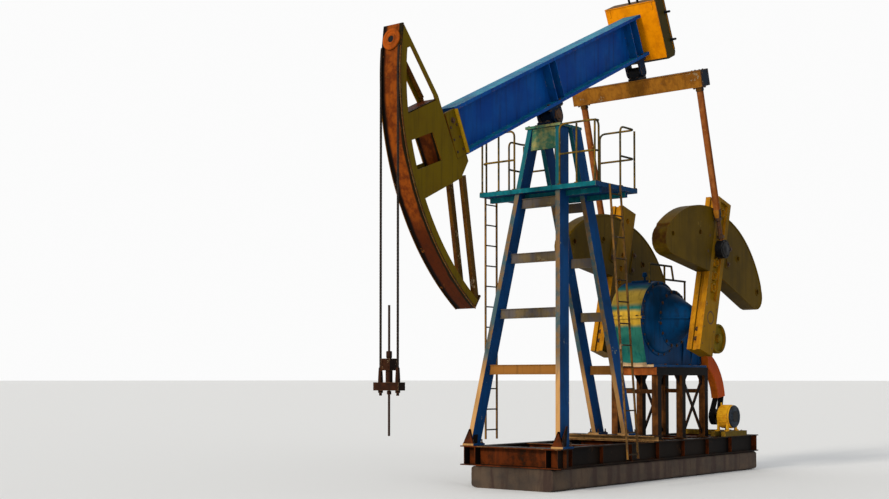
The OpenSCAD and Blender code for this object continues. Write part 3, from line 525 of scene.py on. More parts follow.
# The cream is a band of painted light in the sunlit tone; elsewhere the beams keep near-black
# shaded colours
cross_beam_sunlit_cream = worn_paint("cross_beam_sunlit_cream", "120d0b", "1c130e", dirt=0.5,
                              lit_face_bands=((0.7, 0.06, "c09058"),), **near_ground)
carrier_brown = worn_paint("carrier_brown", "160f0c", "20150e", painted_sunlit=("381e10", "28170e"),
                           rust=0.3, dirt=0.5)
concrete_grey = old_concrete("concrete_grey")
rope_steel = bare_metal("rope_steel", "1a1512", "2a2018", rough=0.5, scale=30)
rod_steel = bare_metal("rod_steel", "3a2a20", "2a1e18", rough=0.4, stretch=(6, 6, 1))
dark_iron = bare_metal("dark_iron", "0c0e12", "181614", rough=0.45)
cowl_grey = bare_metal("cowl_grey", "2a323c", "1c2026", rough=0.45)
bolt_steel = bare_metal("bolt_steel", "332a24", "50341e", rough=0.5, scale=40)
belt_black = bare_metal("belt_black", "121110", "1d1b19", rough=0.75, scale=20)

PAINTED_NODES = (
    (concrete_grey, "concrete_base"),
    (skid_brown, "skid_rails"),
    (cross_beam_sunlit_cream, "skid_cross_beams"),
    (leg_blue, "tower_front_legs tower_rear_legs"),
    (brace_grey, "front_braces rear_braces"),
    (head_teal, "tower_head"),
    (bearing_blue, "saddle_bearing saddle_clamp tail_bracket"),
    (deck_teal, "platform_deck"),
    (rail_green, "railing_near railing_far gearbox_rails"),
    (ladder_tan, "ladder_near ladder_far"),
    (stand_black, "gearbox_stand"),
    (gearbox_blue, "gearbox_case"),
    (drum_olive, "brake_drum"),
    (guard_orange, "belt_guard"),
    (belt_black, "drive_belt"),
    (mount_yellow, "motor_mount"),
    (motor_yellow, "motor_body"),
    (beam_blue, "walking_beam"),
    (tail_orange, "tail_box"),
    (head_rust, "head_face head_box"),
    (head_olive, "head_cheek_near head_cheek_far head_link"),
    (strut_brown, "head_struts"),
    (rope_steel, "arc_ropes bridle_ropes"),
    (equalizer_ochre, "equalizer_beam"),
    (dark_iron, "equalizer_bearing pin_bearings"),
    (pitman_rust, "pitman_near pitman_far"),
    (crank_gold, "crank_shaft crank_near crank_far"),
    (weight_olive, "weights_near weights_far"),
    (carrier_brown, "carrier_bar rod_clamp"),
    (rod_steel, "polished_rod"),
)
for paint, node_names in PAINTED_NODES:
    for node_name in node_names.split():
        node_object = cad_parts[node_name]
        if not node_object.material_slots:
            node_object.data.materials.append(paint)
        for material_slot in node_object.material_slots:
            material_slot.material = paint


# ---- Pieces ----

def add_piece(name, shapes, body, paint, stands_for=(), bevel=0.0):
    """Makes one mesh of the shapes, gives it its paint, and lets it ride on a body."""
    shape = joined(shapes)
    if body in BODY_FRAMES:
        shape = moved(shape, BODY_FRAMES[body])
    mesh = bpy.data.meshes.new(name)
    faces = shape.quads.tolist() + [e.tolist() for e in shape.ends]
    mesh.from_pydata(shape.points.tolist(), [], faces)
    close_and_face_out(mesh)
    mesh.materials.append(paint)
    piece = bpy.data.objects.new(name, mesh)
    bpy.context.scene.collection.objects.link(piece)
    if bevel:
        rounding = piece.modifiers.new("edge", "BEVEL")
        rounding.width, rounding.segments = bevel, 2
        rounding.limit_method, rounding.angle_limit = "ANGLE", math.radians(40)
    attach(piece, body)
    if stands_for:
        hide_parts(*stands_for)
    return piece


def close_and_face_out(mesh):
    """Merges the doubled points of poles, turns the faces outwards and marks sharp edges."""
    work = bmesh.new()
    work.from_mesh(mesh)
    bmesh.ops.remove_doubles(work, verts=work.verts, dist=1e-6)
    bmesh.ops.dissolve_degenerate(work, edges=work.edges, dist=1e-7)
    bmesh.ops.recalc_face_normals(work, faces=work.faces)
    for face in work.faces:
        face.smooth = True
    work.to_mesh(mesh)
    work.free()
    mesh.set_sharp_from_angle(angle=math.radians(35))


# ---- Foundation, skid and tower ----

def worn_slab(low, high, stations=150, round_off=0.02):
    """A long block with rounded, uneven edges: a rounded rectangle carried along x, drawn in
    by waves that grow toward its corners, and shrunk to a point in the plane of each end."""
    a = np.linspace(0, 2 * np.pi, 72, endpoint=False)
    power = 14
    c, s = np.cos(a), np.sin(a)
    radius = (np.abs(c) ** power + np.abs(s) ** power) ** (-1 / power)
    unit = np.stack([radius * c, radius * s], -1)
    half = np.array([high[1] - low[1], high[2] - low[2]]) / 2
    x = np.concatenate([np.full(5, low[0]), np.linspace(low[0], high[0], stations),
                        np.full(5, high[0])])
    shrink = np.concatenate([np.linspace(0, 1 - round_off, 5), np.ones(stations),
                             np.linspace(1 - round_off, 0, 5)])
    corner = np.clip(np.abs(unit).min(1) - 0.75, 0, 1) * 4
    random = np.random.default_rng(7)
    waves = sum(random.normal() * np.cos(k * x[:, None] + m * a[None] + random.uniform(0, 6))
                / (0.5 + 0.12 * k) for k, m in random.uniform(1, 24, (26, 2)))
    waves = (waves - waves.max()) / np.ptp(waves)
    drawn_in = 1 + waves * (0.006 + 0.035 * corner[None]) * (shrink[:, None] > 0.99)
    y = shrink[:, None] * drawn_in * unit[None, :, 0] * half[0] + (low[1] + high[1]) / 2
    z = shrink[:, None] * drawn_in * unit[None, :, 1] * half[1] + (low[2] + high[2]) / 2
    z = np.where(unit[None, :, 1] < -0.98, low[2] + 0 * z, z)
    return grid(np.stack([np.broadcast_to(x[:, None], y.shape), y, z], -1))


add_piece("concrete_block", [worn_slab((-1.05, -0.76, 0.0), (5.55, 0.76, CONCRETE_TOP))], ROOT,
          concrete_grey, stands_for=["concrete_base"])

# Stiffener plates in the rails, and seats and studs that hold the skid down
rail_ribs = [slab((x - 0.006, side * 0.708, 0.357), (x + 0.006, side * 0.772, 0.623))
             for side in SIDES for x in np.arange(-0.55, 5.4, 0.85)]
anchor_seats = [slab((x - 0.07, side * 0.6 - 0.05, CONCRETE_TOP),
                     (x + 0.07, side * 0.6 + 0.05, SEAT_TOP)) for side in SIDES for x in ANCHOR_X]
add_piece("skid_ribs", rail_ribs + anchor_seats, ROOT, skid_brown, bevel=0.002)

anchor_studs = [(x, side * 0.585, SEAT_TOP) for side in SIDES for x in ANCHOR_X]
leg_studs = [(x + dx, side * y + dy, z)
             for x, y, z in ((FRONT_FOOT_X, FRONT_FOOT_Y, FRONT_FOOT_Z),
                             (REAR_FOOT_X, REAR_FOOT_Y, REAR_FOOT_Z))
             for side in SIDES for dx in (-0.11, 0.11) for dy in (-0.075, 0.075)]
studs = copies(stud_nut(0.02, 0.06), facing(anchor_studs + leg_studs, (0, 0, 1)))
add_piece("foot_studs", [studs], ROOT, bolt_steel)

# Lips that make each brace between the front legs a channel. A leg runs straight from its
# foot to its top, so its place at a height is foot + share (top - foot).
brace_lips = []
for z in BRACE_Z + BRACE_STEP * np.arange(BRACES):
    share = (z - FRONT_FOOT_Z) / (TOWER_TOP - FRONT_FOOT_Z)
    x = FRONT_FOOT_X + share * (FRONT_TOP_X - FRONT_FOOT_X)
    half = FRONT_FOOT_Y + share * (FRONT_TOP_Y - FRONT_FOOT_Y) - 0.042
    for edge in SIDES:
        brace_lips.append(slab((x - 0.018, -half, z + edge * 0.069 - 0.006),
                               (x, half, z + edge * 0.069 + 0.006)))
add_piece("brace_lips", brace_lips, ROOT, brace_grey, bevel=0.002)

# Gussets that stand on the front feet, beside the legs and in front of them
foot_gussets = []
for side in SIDES:
    x, y, z = FRONT_FOOT_X, side * FRONT_FOOT_Y, FRONT_FOOT_Z
    for edge in SIDES:
        foot_gussets.append(plate([(x - 0.14, z), (x + 0.02, z), (x + 0.06, z + 0.3),
                                   (x + 0.03, z + 0.3)], y + edge * 0.042, y + edge * 0.056))
    rows = [[(x + dx, y + 0.1, z), (x + dx, y - 0.1, z), (x + dx + 0.04, y + 0.012, z + 0.22),
             (x + dx + 0.04, y - 0.012, z + 0.22)] for dx in (-0.142, -0.13)]
    foot_gussets.append(grid(np.array(rows), close=True))
add_piece("foot_gussets", foot_gussets, ROOT, skid_brown, bevel=0.0015)

# Bolts on the tower's top plate and on the saddle bearing, and the front panel's frame
plate_z = TOWER_TOP + 0.04
head_bolts = [(x, side * y, plate_z) for side in SIDES for x in (-0.17, 0.34)
              for y in (0.15, 0.29)]
head_bolts += [(x, side * 0.29, plate_z) for side in SIDES for x in (0.0, 0.17)]
saddle_bolts = [(x, side * 0.075, plate_z + 0.04) for side in SIDES for x in (-0.165, 0.165)]
add_piece("tower_bolts", [bolts(head_bolts, (0, 0, 1), 0.018),
                          bolts(saddle_bolts, (0, 0, 1), 0.026)], ROOT, bolt_steel)
panel_frame = [slab((-0.172, -0.215, z), (-0.16, 0.215, z + 0.03))
               for z in (TOWER_TOP - 0.335, TOWER_TOP - 0.035)]
add_piece("panel_frame", panel_frame, ROOT, head_teal, bevel=0.002)


# ---- Platform ----

# Raised bars across the deck, clear of the legs' cut-outs
treads = [slab((x - 0.006, side * 0.42, DECK_Z), (x + 0.006, side * 1.085, DECK_Z + 0.006))
          for x in np.arange(-0.37, 0.79, 0.06) for side in SIDES]
add_piece("deck_treads", treads, ROOT, deck_teal)


def railing(side):
    """One side's railing: hoops of bent pipe with a lower rail and posts on small plates."""
    inner, edge = side * DECK_INNER, side * DECK_EDGE
    gate_front, gate_rear = -0.26, 0.35
    post_y = side * 0.74
    shapes = []
    for z, to_deck in ((RAIL_TOP, True), (RAIL_MID, False)):
        front = [(DECK_FRONT, inner, z), (DECK_FRONT, edge, z), (gate_front, edge, z)]
        rear = [(gate_rear, edge, z), (DECK_REAR, edge, z), (DECK_REAR, inner, z)]
        for hoop in (front, rear):
            if to_deck:
                hoop = [(*hoop[0][:2], DECK_Z)] + hoop + [(*hoop[-1][:2], DECK_Z)]
            shapes.append(pipe_run(hoop))
    for x, y in ((DECK_FRONT, post_y), (DECK_FRONT, edge), (DECK_REAR, edge)):
        shapes.append(pipe([(x, y, DECK_Z), (x, y, RAIL_TOP - 0.02)], PIPE_R))
    base = turned([(0, 0.012), (0.04, 0.012), (0.04, -0.001)], 20)
    posts = [(DECK_FRONT, inner), (DECK_FRONT, post_y), (DECK_FRONT, edge), (gate_front, edge),
             (gate_rear, edge), (DECK_REAR, edge), (DECK_REAR, inner)]
    shapes.append(copies(base, facing([(x, y, DECK_Z) for x, y in posts], (0, 0, 1))))
    return shapes


def pipe_run(corners, r=PIPE_R, bend=0.1):
    """A bent pipe: its frame is carried from ring to ring so that it never twists."""
    path = bent(corners, bend)
    along = np.gradient(path, axis=0)
    along /= np.linalg.norm(along, axis=1, keepdims=True)
    side = np.zeros_like(path)
    side[0] = np.cross(along[0], [0.31, 0.52, 0.79])
    side[0] /= np.linalg.norm(side[0])
    for k in range(1, len(path)):
        side[k] = side[k - 1] - along[k] * (side[k - 1] @ along[k])
        side[k] /= np.linalg.norm(side[k])
    rise = np.cross(along, side)
    circle = round_outline(r, 14)
    points = (path[:, None] + circle[None, :, :1] * side[:, None]
              + circle[None, :, 1:] * rise[:, None])
    return grid(points, close=True)


for side, word in ((-1, "near"), (1, "far")):
    add_piece(f"pipe_railing_{word}", railing(side), ROOT, rail_green,
              stands_for=[f"railing_{word}"])


# ---- Gearbox, brake, guard and motor ----

# Bolts along the flange, at the foot, and in rings round the shaft and the round covers
flange_bolts = [(x, side * 0.322, FLANGE_TOP) for side in SIDES
                for x in np.arange(2.26, 4.5, 0.16) if abs(x - SHAFT_X) > 0.25]
flange_bolts += [(2.195, y, FLANGE_TOP) for y in np.arange(-0.24, 0.25, 0.16)]
case_bolts = [(x, side * 0.375, CASE_FOOT_TOP) for side in SIDES
              for x in (2.46, 2.9, 3.3, 3.75, 4.15)]
gear_bolts = [bolts(flange_bolts, (0, 0, 1), 0.018), bolts(case_bolts, (0, 0, 1), 0.024)]
for side in SIDES:
    boss = ring_points(SHAFT_X, SHAFT_Z, side * BOSS_Y, 0.47, 16, 11)
    cover = ring_points(DOME_X, DOME_Z, side * 0.318, 0.615, 20, 9)
    clear_of_flange = np.abs(cover[:, 2] - SHAFT_Z) > 0.07
    gear_bolts += [bolts(boss, (0, side, 0), 0.02),
                   bolts(cover[clear_of_flange], (0, side, 0), 0.014)]
gear_bolts.append(bolts(ring_points(INPUT_X, INPUT_Z, 0.36, 0.09, 6), (0, 1, 0), 0.012))
add_piece("gearbox_bolts", gear_bolts, ROOT, bolt_steel)

# Round covers with their rims, cones round the shaft with split flanges, and upright ribs
rim = turned([(0.59, 0.0), (0.59, 0.014), (0.595, 0.018), (0.635, 0.018), (0.64, 0.014),
              (0.64, 0.0)], 96)
cone = turned([(0.5, -0.135), (0.5, -0.05), (0.495, -0.045), (0.44, -0.045), (0.43, -0.03),
               (0.17, 0.36), (0.15, 0.37), (0.114, 0.37), (0.114, 0.3)], 72, loop=True)
dome = turned([(0, 0.072), (0.5, 0.072), (0.545, 0.066), (0.575, 0.05), (0.59, 0.028),
               (0.594, -0.002)], 96)
ribs = []
for side in SIDES:
    ribs += [stood(shape, (DOME_X, side * CASE_HALF, DOME_Z), (0, side, 0))
             for shape in (dome, rim)]
    ribs.append(stood(cone, (SHAFT_X, side * CONE_Y, SHAFT_Z), (0, side, 0)))
    for edge in SIDES:
        rows = [[(SHAFT_X + edge * dx, side * y, z)
                 for dx, y in ((0.47, BOSS_Y), (0.21, 0.79), (0.15, 0.79), (0.38, BOSS_Y))]
                for z in (SHAFT_Z - 0.012, SHAFT_Z + 0.012)]
        ribs.append(grid(np.array(rows), close=True))
    for x in (3.62, 3.94, 4.26):
        rows = [[(x + dx, side * (CASE_HALF + depth), FLANGE_TOP - 0.045 - drop)
                 for drop, depth in ((0, 0), (0, 0.034), (0.5, 0.034), (0.76, 0.0))]
                for dx in (-0.009, 0.009)]
        ribs.append(grid(np.array(rows), close=True))
# Inspection cover on the round top, breather and oil gauge
breather = turned([(0, 0.16), (0.035, 0.15), (0.045, 0.1), (0.045, 0.08), (0.02, 0.07),
                   (0.02, 0)], 20)
gauge = turned([(0, 0.03), (0.03, 0.03), (0.036, 0.02), (0.036, 0)], 24)
ribs += [slab((2.7, -0.17, 3.325), (3.02, 0.17, 3.366)), stood(breather, (DOME_X, 0.0, 3.362)),
         stood(gauge, (3.95, -CASE_HALF, 2.15), (0, -1, 0))]
# These parts keep the gearbox's painted shade blue on every side, even where they face the light
add_piece("gearbox_ribs", ribs, ROOT, gearbox_painted_shade_blue, bevel=0.003)

drum_hub = turned([(0, 0.03), (0.05, 0.03), (0.055, 0.02), (0.08, 0.02), (0.08, -0.01)], 32)
band = turned([(0.261, 0), (0.267, 0), (0.267, 0.07), (0.261, 0.07)], 72, loop=True)
drum_parts = [stood(drum_hub, (INPUT_X, -0.6, INPUT_Z), (0, -1, 0)),
              stood(band, (INPUT_X, -0.515, INPUT_Z), (0, -1, 0))]
add_piece("brake_band", drum_parts, ROOT, drum_olive, bevel=0.002)

def arm_arc(r, a0=10, a1=58, count=28):
    """Points on an arc round the centre of the guard's curved arm, just off its near face."""
    a = np.radians(np.linspace(a0, a1, count))
    return np.stack([ARM_X + r * np.cos(a), np.full(count, -0.46), ARM_Z + r * np.sin(a)], -1)


beads = [pipe(arm_arc(r), 0.006, 8) for r in (0.732, 0.973)]
beads += [bolts(arm_arc(r, 14, 54, count), (0, -1, 0), 0.009)
          for r, count in ((0.76, 6), (0.945, 7))]
add_piece("guard_beads", beads, ROOT, guard_orange)


def motor_housing():
    """A cylinder with cooling ribs along it: its radius steps in and out round the axis."""
    fins = 40
    a = np.arange(fins * 4) * 2 * np.pi / (fins * 4)
    radius = 0.208 + 0.004 * np.cos(fins * a)
    outline = np.stack([radius * np.cos(a), radius * np.sin(a)], -1)
    ribs = carried(outline, [(MOTOR_X, y, MOTOR_Z) for y in (-0.73, -0.54)])
    bell = [(0, 0.045), (0.07, 0.045), (0.09, 0.03), (0.18, 0.02), (0.205, 0.0), (0.205, -0.03)]
    back = [(0.205, 0.03), (0.205, 0), (0.0, 0)]
    bells = [stood(turned(bell, 48), (MOTOR_X, -0.535, MOTOR_Z), (0, 1, 0)),
             stood(turned(back, 48), (MOTOR_X, -0.735, MOTOR_Z), (0, -1, 0))]
    box = [slab((MOTOR_X + 0.13, -0.7, MOTOR_Z + 0.02), (MOTOR_X + 0.212, -0.58, MOTOR_Z + 0.13))]
    feet = [slab((MOTOR_X + end * 0.19 - 0.04, y, SKID_TOP + 0.09),
                 (MOTOR_X + end * 0.19 + 0.04, y + 0.06, SKID_TOP + 0.11))
            for end in SIDES for y in (-0.75, -0.57)]
    web = [(0.19, SKID_TOP + 0.1), (0.12, SKID_TOP + 0.1), (0.12, MOTOR_Z - 0.1),
           (0.17, MOTOR_Z - 0.08)]
    webs = [plate([(MOTOR_X + end * dx, z) for dx, z in web], y, y + 0.03)
            for end in SIDES for y in (-0.735, -0.555)]
    lift = stood(turned([(0, 0.05), (0.014, 0.05), (0.014, 0)], 12),
                 (MOTOR_X, -0.52, MOTOR_Z + 0.2))
    return [ribs] + bells + box + feet + webs + [lift]


def fan_cowl():
    """The cowl on the fan end, with rings pressed into its face."""
    rings = [(0.07, 0.05)] + [(r, 0.058 - 0.006 * (k % 2)) for k, r in
                              enumerate(np.linspace(0.085, 0.17, 8))]
    cowl = turned([(0, 0.046)] + rings + [(0.19, 0.052), (0.204, 0.035), (0.204, 0)], 56)
    return [stood(cowl, (MOTOR_X, -0.742, MOTOR_Z), (0, -1, 0))]


def belt_pulley():
    """The grooved pulley and its hub, and the dark mouth of the fan cowl."""
    grooves = [(0, 0.001), (0.138, 0.001)]
    grooves += [(0.138 - 0.011 * (k % 2), 0.012 + 0.0082 * k) for k in range(11)]
    pulley = turned(grooves + [(0.138, 0.104), (0.06, 0.104), (0.0, 0.104)], 56)
    hub = turned([(0, 0.105), (0.05, 0.105), (0.05, 0)], 32)
    mouth = turned([(0, 0.05), (0.1, 0.052), (0.105, 0.045)], 40)
    return [stood(mouth, (MOTOR_X, -0.75, MOTOR_Z), (0, -1, 0)),
            stood(pulley, (MOTOR_X, -0.34, MOTOR_Z), (0, -1, 0)),
            stood(hub, (MOTOR_X, -0.39, MOTOR_Z), (0, -1, 0))]


add_piece("motor_housing", motor_housing(), ROOT, motor_yellow,
          stands_for=["motor_body"], bevel=0.0015)
add_piece("motor_cowl", fan_cowl(), ROOT, cowl_grey)
add_piece("motor_pulley", belt_pulley(), ROOT, dark_iron)
mount_bolts = [(MOTOR_X + end * 0.21, y, SKID_TOP + 0.11) for end in SIDES
               for y in (-0.72, -0.54)]
mount_bolts += [(MOTOR_X + dx, y, SKID_TOP + 0.09) for dx in (-0.28, 0.36)
                for y in (-0.73, -0.52)]
add_piece("motor_bolts", [bolts(mount_bolts, (0, 0, 1), 0.014)], ROOT, bolt_steel)

# Foot plates and corner plates of the gearbox stand, its front plate, near black and orange
# only in the painted sunlit tone, and the foot bolts
add_piece("stand_front_plate", [slab((2.462, -0.46, 1.735), (2.47, 0.46, 1.865))], ROOT,
          stand_front_orange, bevel=0.002)
stand_plates = [slab((x - 0.11, side * STAND_Y - 0.08, SKID_TOP),
                     (x + 0.11, side * STAND_Y + 0.08, STAND_PLATE_TOP))
                for side in SIDES for x in STAND_X]
front, middle, rear = STAND_X
stand_plates += [plate([(x + way * 0.06, 1.73), (x + way * 0.22, 1.73), (x + way * 0.06, 1.55)],
                       side * STAND_Y - 0.008, side * STAND_Y + 0.008)
                 for side in SIDES
                 for x, way in ((front, 1), (middle, -1), (middle, 1), (rear, -1))]
add_piece("stand_plates", stand_plates, ROOT, stand_black, bevel=0.002)
stand_studs = [(x + dx, side * STAND_Y + dy, STAND_PLATE_TOP) for side in SIDES for x in STAND_X
               for dx in (-0.08, 0.08) for dy in (-0.045, 0.045)]
add_piece("stand_bolts", [bolts(stand_studs, (0, 0, 1), 0.014)], ROOT, bolt_steel)


# ---- Beam and head ----

# Weld beads along the flanges
welds = [pipe([(x, side * 0.014, z) for x in (-2.44, 3.12)], 0.007, 8)
         for side in SIDES for z in (0.212, 0.808)]
add_piece("beam_welds", welds, BEAM, beam_blue)

# Bolts of the saddle clamp and the tail bracket, from above and from below, and the screws
# of their caps
clamp_bolts = [(x, side * 0.14, 0.21) for side in SIDES for x in (-0.165, 0.165)]
bracket_bolts = [(TAIL_X + x, side * 0.14, 0.21) for side in SIDES for x in (-0.085, 0.085)]
under_bolts = [(x, side * 0.145, 0.13) for side in SIDES
               for x in (-0.168, 0.168, TAIL_X - 0.12, TAIL_X + 0.12)]
beam_bolts = [bolts(clamp_bolts + bracket_bolts, (0, 0, 1), 0.02),
              bolts(under_bolts, (0, 0, -1), 0.02)]
beam_bolts += [bolts(ring_points(x, z, side * y, r, 6), (0, side, 0), 0.01) for side in SIDES
               for x, z, y, r in ((0, 0, 0.155, 0.105), (TAIL_X, -TAIL_DROP, 0.15, 0.068))]
# Bolts on both faces and the rear edge of the head's link
link_bolts = [(x, z) for x in (-2.69, -2.55) for z in (0.26, 0.44, 0.62)]
beam_bolts += [bolts([(x, side * HEAD_HALF, z) for x, z in link_bolts], (0, side, 0), 0.014)
               for side in SIDES]
beam_bolts += [bolts([(-2.605, side * HEAD_HALF, 0.7)], (0, side, 0), 0.03) for side in SIDES]
beam_bolts.append(bolts([(-2.46, side * 0.12, z) for side in SIDES
                         for z in (0.26, 0.4, 0.56, 0.72)], (1, 0, 0), 0.016))
# Hub that covers the saddle pin's end on both sides
hub = turned([(0, 0.03), (0.05, 0.03), (0.06, 0.02), (0.09, 0.018), (0.095, 0.0)], 32)
beam_bolts += [stood(hub, (0, side * 0.155, 0), (0, side, 0)) for side in SIDES]
add_piece("beam_bolts", beam_bolts, BEAM, bolt_steel)


def tail_box_details():
    """Raised frames on the box's faces and a lid."""
    proud = 0.008
    shapes = []
    for side in SIDES:
        y = side * TAIL_HALF
        for x in (TAIL_FRONT + 0.02, TAIL_REAR - 0.02):
            shapes.append(slab((x - 0.018, y, 0.12), (x + 0.018, y + side * proud, 1.03)))
        shapes.append(slab((TAIL_FRONT + 0.02, y, 1.0),
                           (TAIL_REAR - 0.02, y + side * proud, 1.04)))
    for y in (0.075 - TAIL_HALF, TAIL_HALF - 0.075):
        shapes.append(slab((TAIL_FRONT - proud, y - 0.018, 0.9), (TAIL_FRONT, y + 0.018, 1.03)))
        shapes.append(slab((TAIL_REAR, y - 0.02, 0.12), (TAIL_REAR + proud, y + 0.02, 1.0)))
    shapes.append(slab((TAIL_FRONT - 0.01, -TAIL_HALF - proud, 1.036),
                       (TAIL_REAR + 0.01, TAIL_HALF + proud, 1.052)))
    return shapes


add_piece("tail_box_frames", tail_box_details(), BEAM, tail_orange, bevel=0.002)
tail_stud = turned([(0, 0.1), (0.016, 0.1), (0.02, 0.09), (0.02, 0.012), (0.034, 0.01),
                    (0.034, 0)], 16)
sleeve = turned([(0, 0.094), (0.02, 0.094), (0.02, -0.002)], 16)
tail_studs = [copies(tail_stud, facing([(TAIL_REAR - 0.06, side * TAIL_HALF, z)
                                        for z in (0.3, 0.78)], (0, side, 0))) for side in SIDES]
tail_studs.append(copies(sleeve, facing([(TAIL_FRONT + 0.16, y, 1.05) for y in (-0.08, 0.08)],
                                        (0, 0, 1))))
add_piece("tail_studs", tail_studs, BEAM, dark_iron)


def arc_line(r, a0, a1, count=90):
    """Points (x, z) on an arc round the pivot, from a0 to a1 degrees above the beam."""
    a = np.radians(np.linspace(a0, a1, count))
    return np.stack([-r * np.cos(a), r * np.sin(a)], -1)


def head_plates():
    """Flanges that stand in from the cheeks' edges, and ribs behind the face plate."""
    thick = 0.012
    rear = [(-2.776, 1.12), (-2.772, 0.768), (-2.739, -0.092)]
    shapes = [strip([(-3.05, 2.16), (-2.779, 1.12)], HEAD_HALF - 0.018, HEAD_HALF - 0.1, thick)]
    for side in SIDES:
        y0, y1 = side * (HEAD_HALF - 0.018), side * (HEAD_HALF - 0.08)
        shapes += [strip(line, y0, y1, thick)
                   for line in (rear, arc_line(RIM_IN_R + 0.007, CAP_A + 0.3, -2.0, 40),
                                arc_line(RIM_IN_R + 0.007, 18.5, 30.0, 24))]
    for a in np.arange(-26, 31.5, 4.4):
        ends = [arc_line(r, a, a, 1)[0] for r in (RIM_IN_R + 0.02, CHEEK_R - 0.001)]
        shapes.append(strip(ends, 0.018 - HEAD_HALF, HEAD_HALF - 0.018, thick))
    return shapes


add_piece("head_flanges", head_plates(), BEAM, strut_brown, bevel=0.002)

# Upright flanges at the rear edge of the head's link that stand out on both sides
rear_flanges = [slab((-2.502, side * (HEAD_HALF - 0.002), 0.185), (-2.487, side * 0.228, 0.835))
                for side in SIDES]
add_piece("rear_flanges", rear_flanges, BEAM, flange_yellow, bevel=0.002)

# Raised lips along both edges of the face
face_line = arc_line(FACE_R + 0.003, -ARC_DOWN + 0.05, ARC_UP - 0.1, 150)
lips = [strip(face_line, side * (HEAD_HALF - 0.002), side * (HEAD_HALF + 0.008), 0.02)
        for side in SIDES]
add_piece("face_lips", lips, BEAM, strut_brown)

# The face's round boss: its outer ring, the ring round its hole, its cover, and the pin's end
boss_frame = lean((0, 0, 0), ARC_UP + 1.6 - 90)
boss_rings = [[(0.112, -0.002), (0.112, 0.006), (0.12, 0.01), (0.14, 0.01), (0.149, 0.003),
               (0.149, -0.002)],
              [(0.048, -0.002), (0.048, 0.008), (0.056, 0.013), (0.072, 0.013), (0.082, 0.004),
               (0.082, -0.002)],
              [(0, 0.002), (0.149, 0.002), (0.1515, -0.001), (0.1515, -0.0175)]]
boss = [moved(turned(profile, sides), boss_frame @ lean((0, 0, BOSS_TOP), 0))
        for profile, sides in zip(boss_rings, (64, 48, 64))]
add_piece("boss_rings", boss, BEAM, boss_rust)
pin_end = turned([(0, 0.0), (0.046, 0.0), (0.046, -0.02)], 32)
add_piece("boss_pin", [moved(pin_end, boss_frame @ lean((0, 0, BOSS_TOP + 0.004), 0))], BEAM,
          dark_iron)


def twisted_rope(path, radius=ROPE_R, strands=6, lay=0.26, sides=24):
    """A laid rope: the outline bulges into strands and turns as it goes along, so radius
    at angle a and length s is radius (0.84 + 0.16 |cos(strands/2 (a - 2 pi s / lay))|)."""
    s = np.concatenate([[0], np.cumsum(np.linalg.norm(np.diff(path, axis=0), axis=1))])
    a = np.arange(sides) * 2 * np.pi / sides
    bulge = 0.84 + 0.16 * np.abs(np.cos(strands / 2 * (a[None] - 2 * np.pi * s[:, None] / lay)))
    return carried(radius * (bulge[..., None] * round_outline(1, sides)), path, up=(0, 1, 0))


arc_xz = arc_line(ROPE_ARC_R, BEAM_TILT, ARC_UP, 60)
arc_paths = [np.stack([arc_xz[:, 0], np.full(60, side * ROPE_Y), arc_xz[:, 1]], -1)
             for side in SIDES]
add_piece("laid_ropes_on_arc", [twisted_rope(path) for path in arc_paths], BEAM, rope_steel,
          stands_for=["arc_ropes"])

hang_z = np.arange(BAR_TOP, PIVOT_Z - 0.0009, 0.011)
hang_paths = [np.stack([np.full(len(hang_z), -ROPE_ARC_R), np.full(len(hang_z), side * ROPE_Y),
                        hang_z], -1) for side in SIDES]
add_piece("laid_ropes_hanging", [twisted_rope(path) for path in hang_paths], CARRIER,
          rope_steel, stands_for=["bridle_ropes"])

# Rope sockets above and below the carrier bar, the rod clamp's bolts, and the rod's collars
rope_socket = turned([(0.02, 0.2), (0.026, 0.19), (0.034, 0.04), (0.034, 0.0)], 24)
lower_end = turned([(0.034, 0.0), (0.034, -0.03), (0.02, -0.034), (0.02, -0.07), (0, -0.07)], 20)
carrier_parts = [stood(shape, (-ROPE_ARC_R, side * ROPE_Y, z)) for side in SIDES
                 for shape, z in ((rope_socket, BAR_TOP), (lower_end, BAR_LOW))]
carrier_parts += [bolts([(-ROPE_ARC_R + end * 0.08, y, z) for y in (-0.05, 0.05)
                         for z in (1.82, 1.9)], (end, 0, 0), 0.012) for end in SIDES]
collar = turned([(0.0165, 0), (0.036, 0.004), (0.04, 0.02), (0.04, 0.09), (0.034, 0.1),
                 (0.0165, 0.1)], 28)
low_collar = turned([(0.0165, 0), (0.03, 0.002), (0.03, 0.05), (0.0165, 0.052)], 24)
carrier_parts += [stood(collar, (-ROPE_ARC_R, 0, 1.94)),
                  stood(low_collar, (-ROPE_ARC_R, 0, 1.455))]
add_piece("carrier_fittings", carrier_parts, CARRIER, carrier_brown)


# ---- Pitmans and equalizer ----

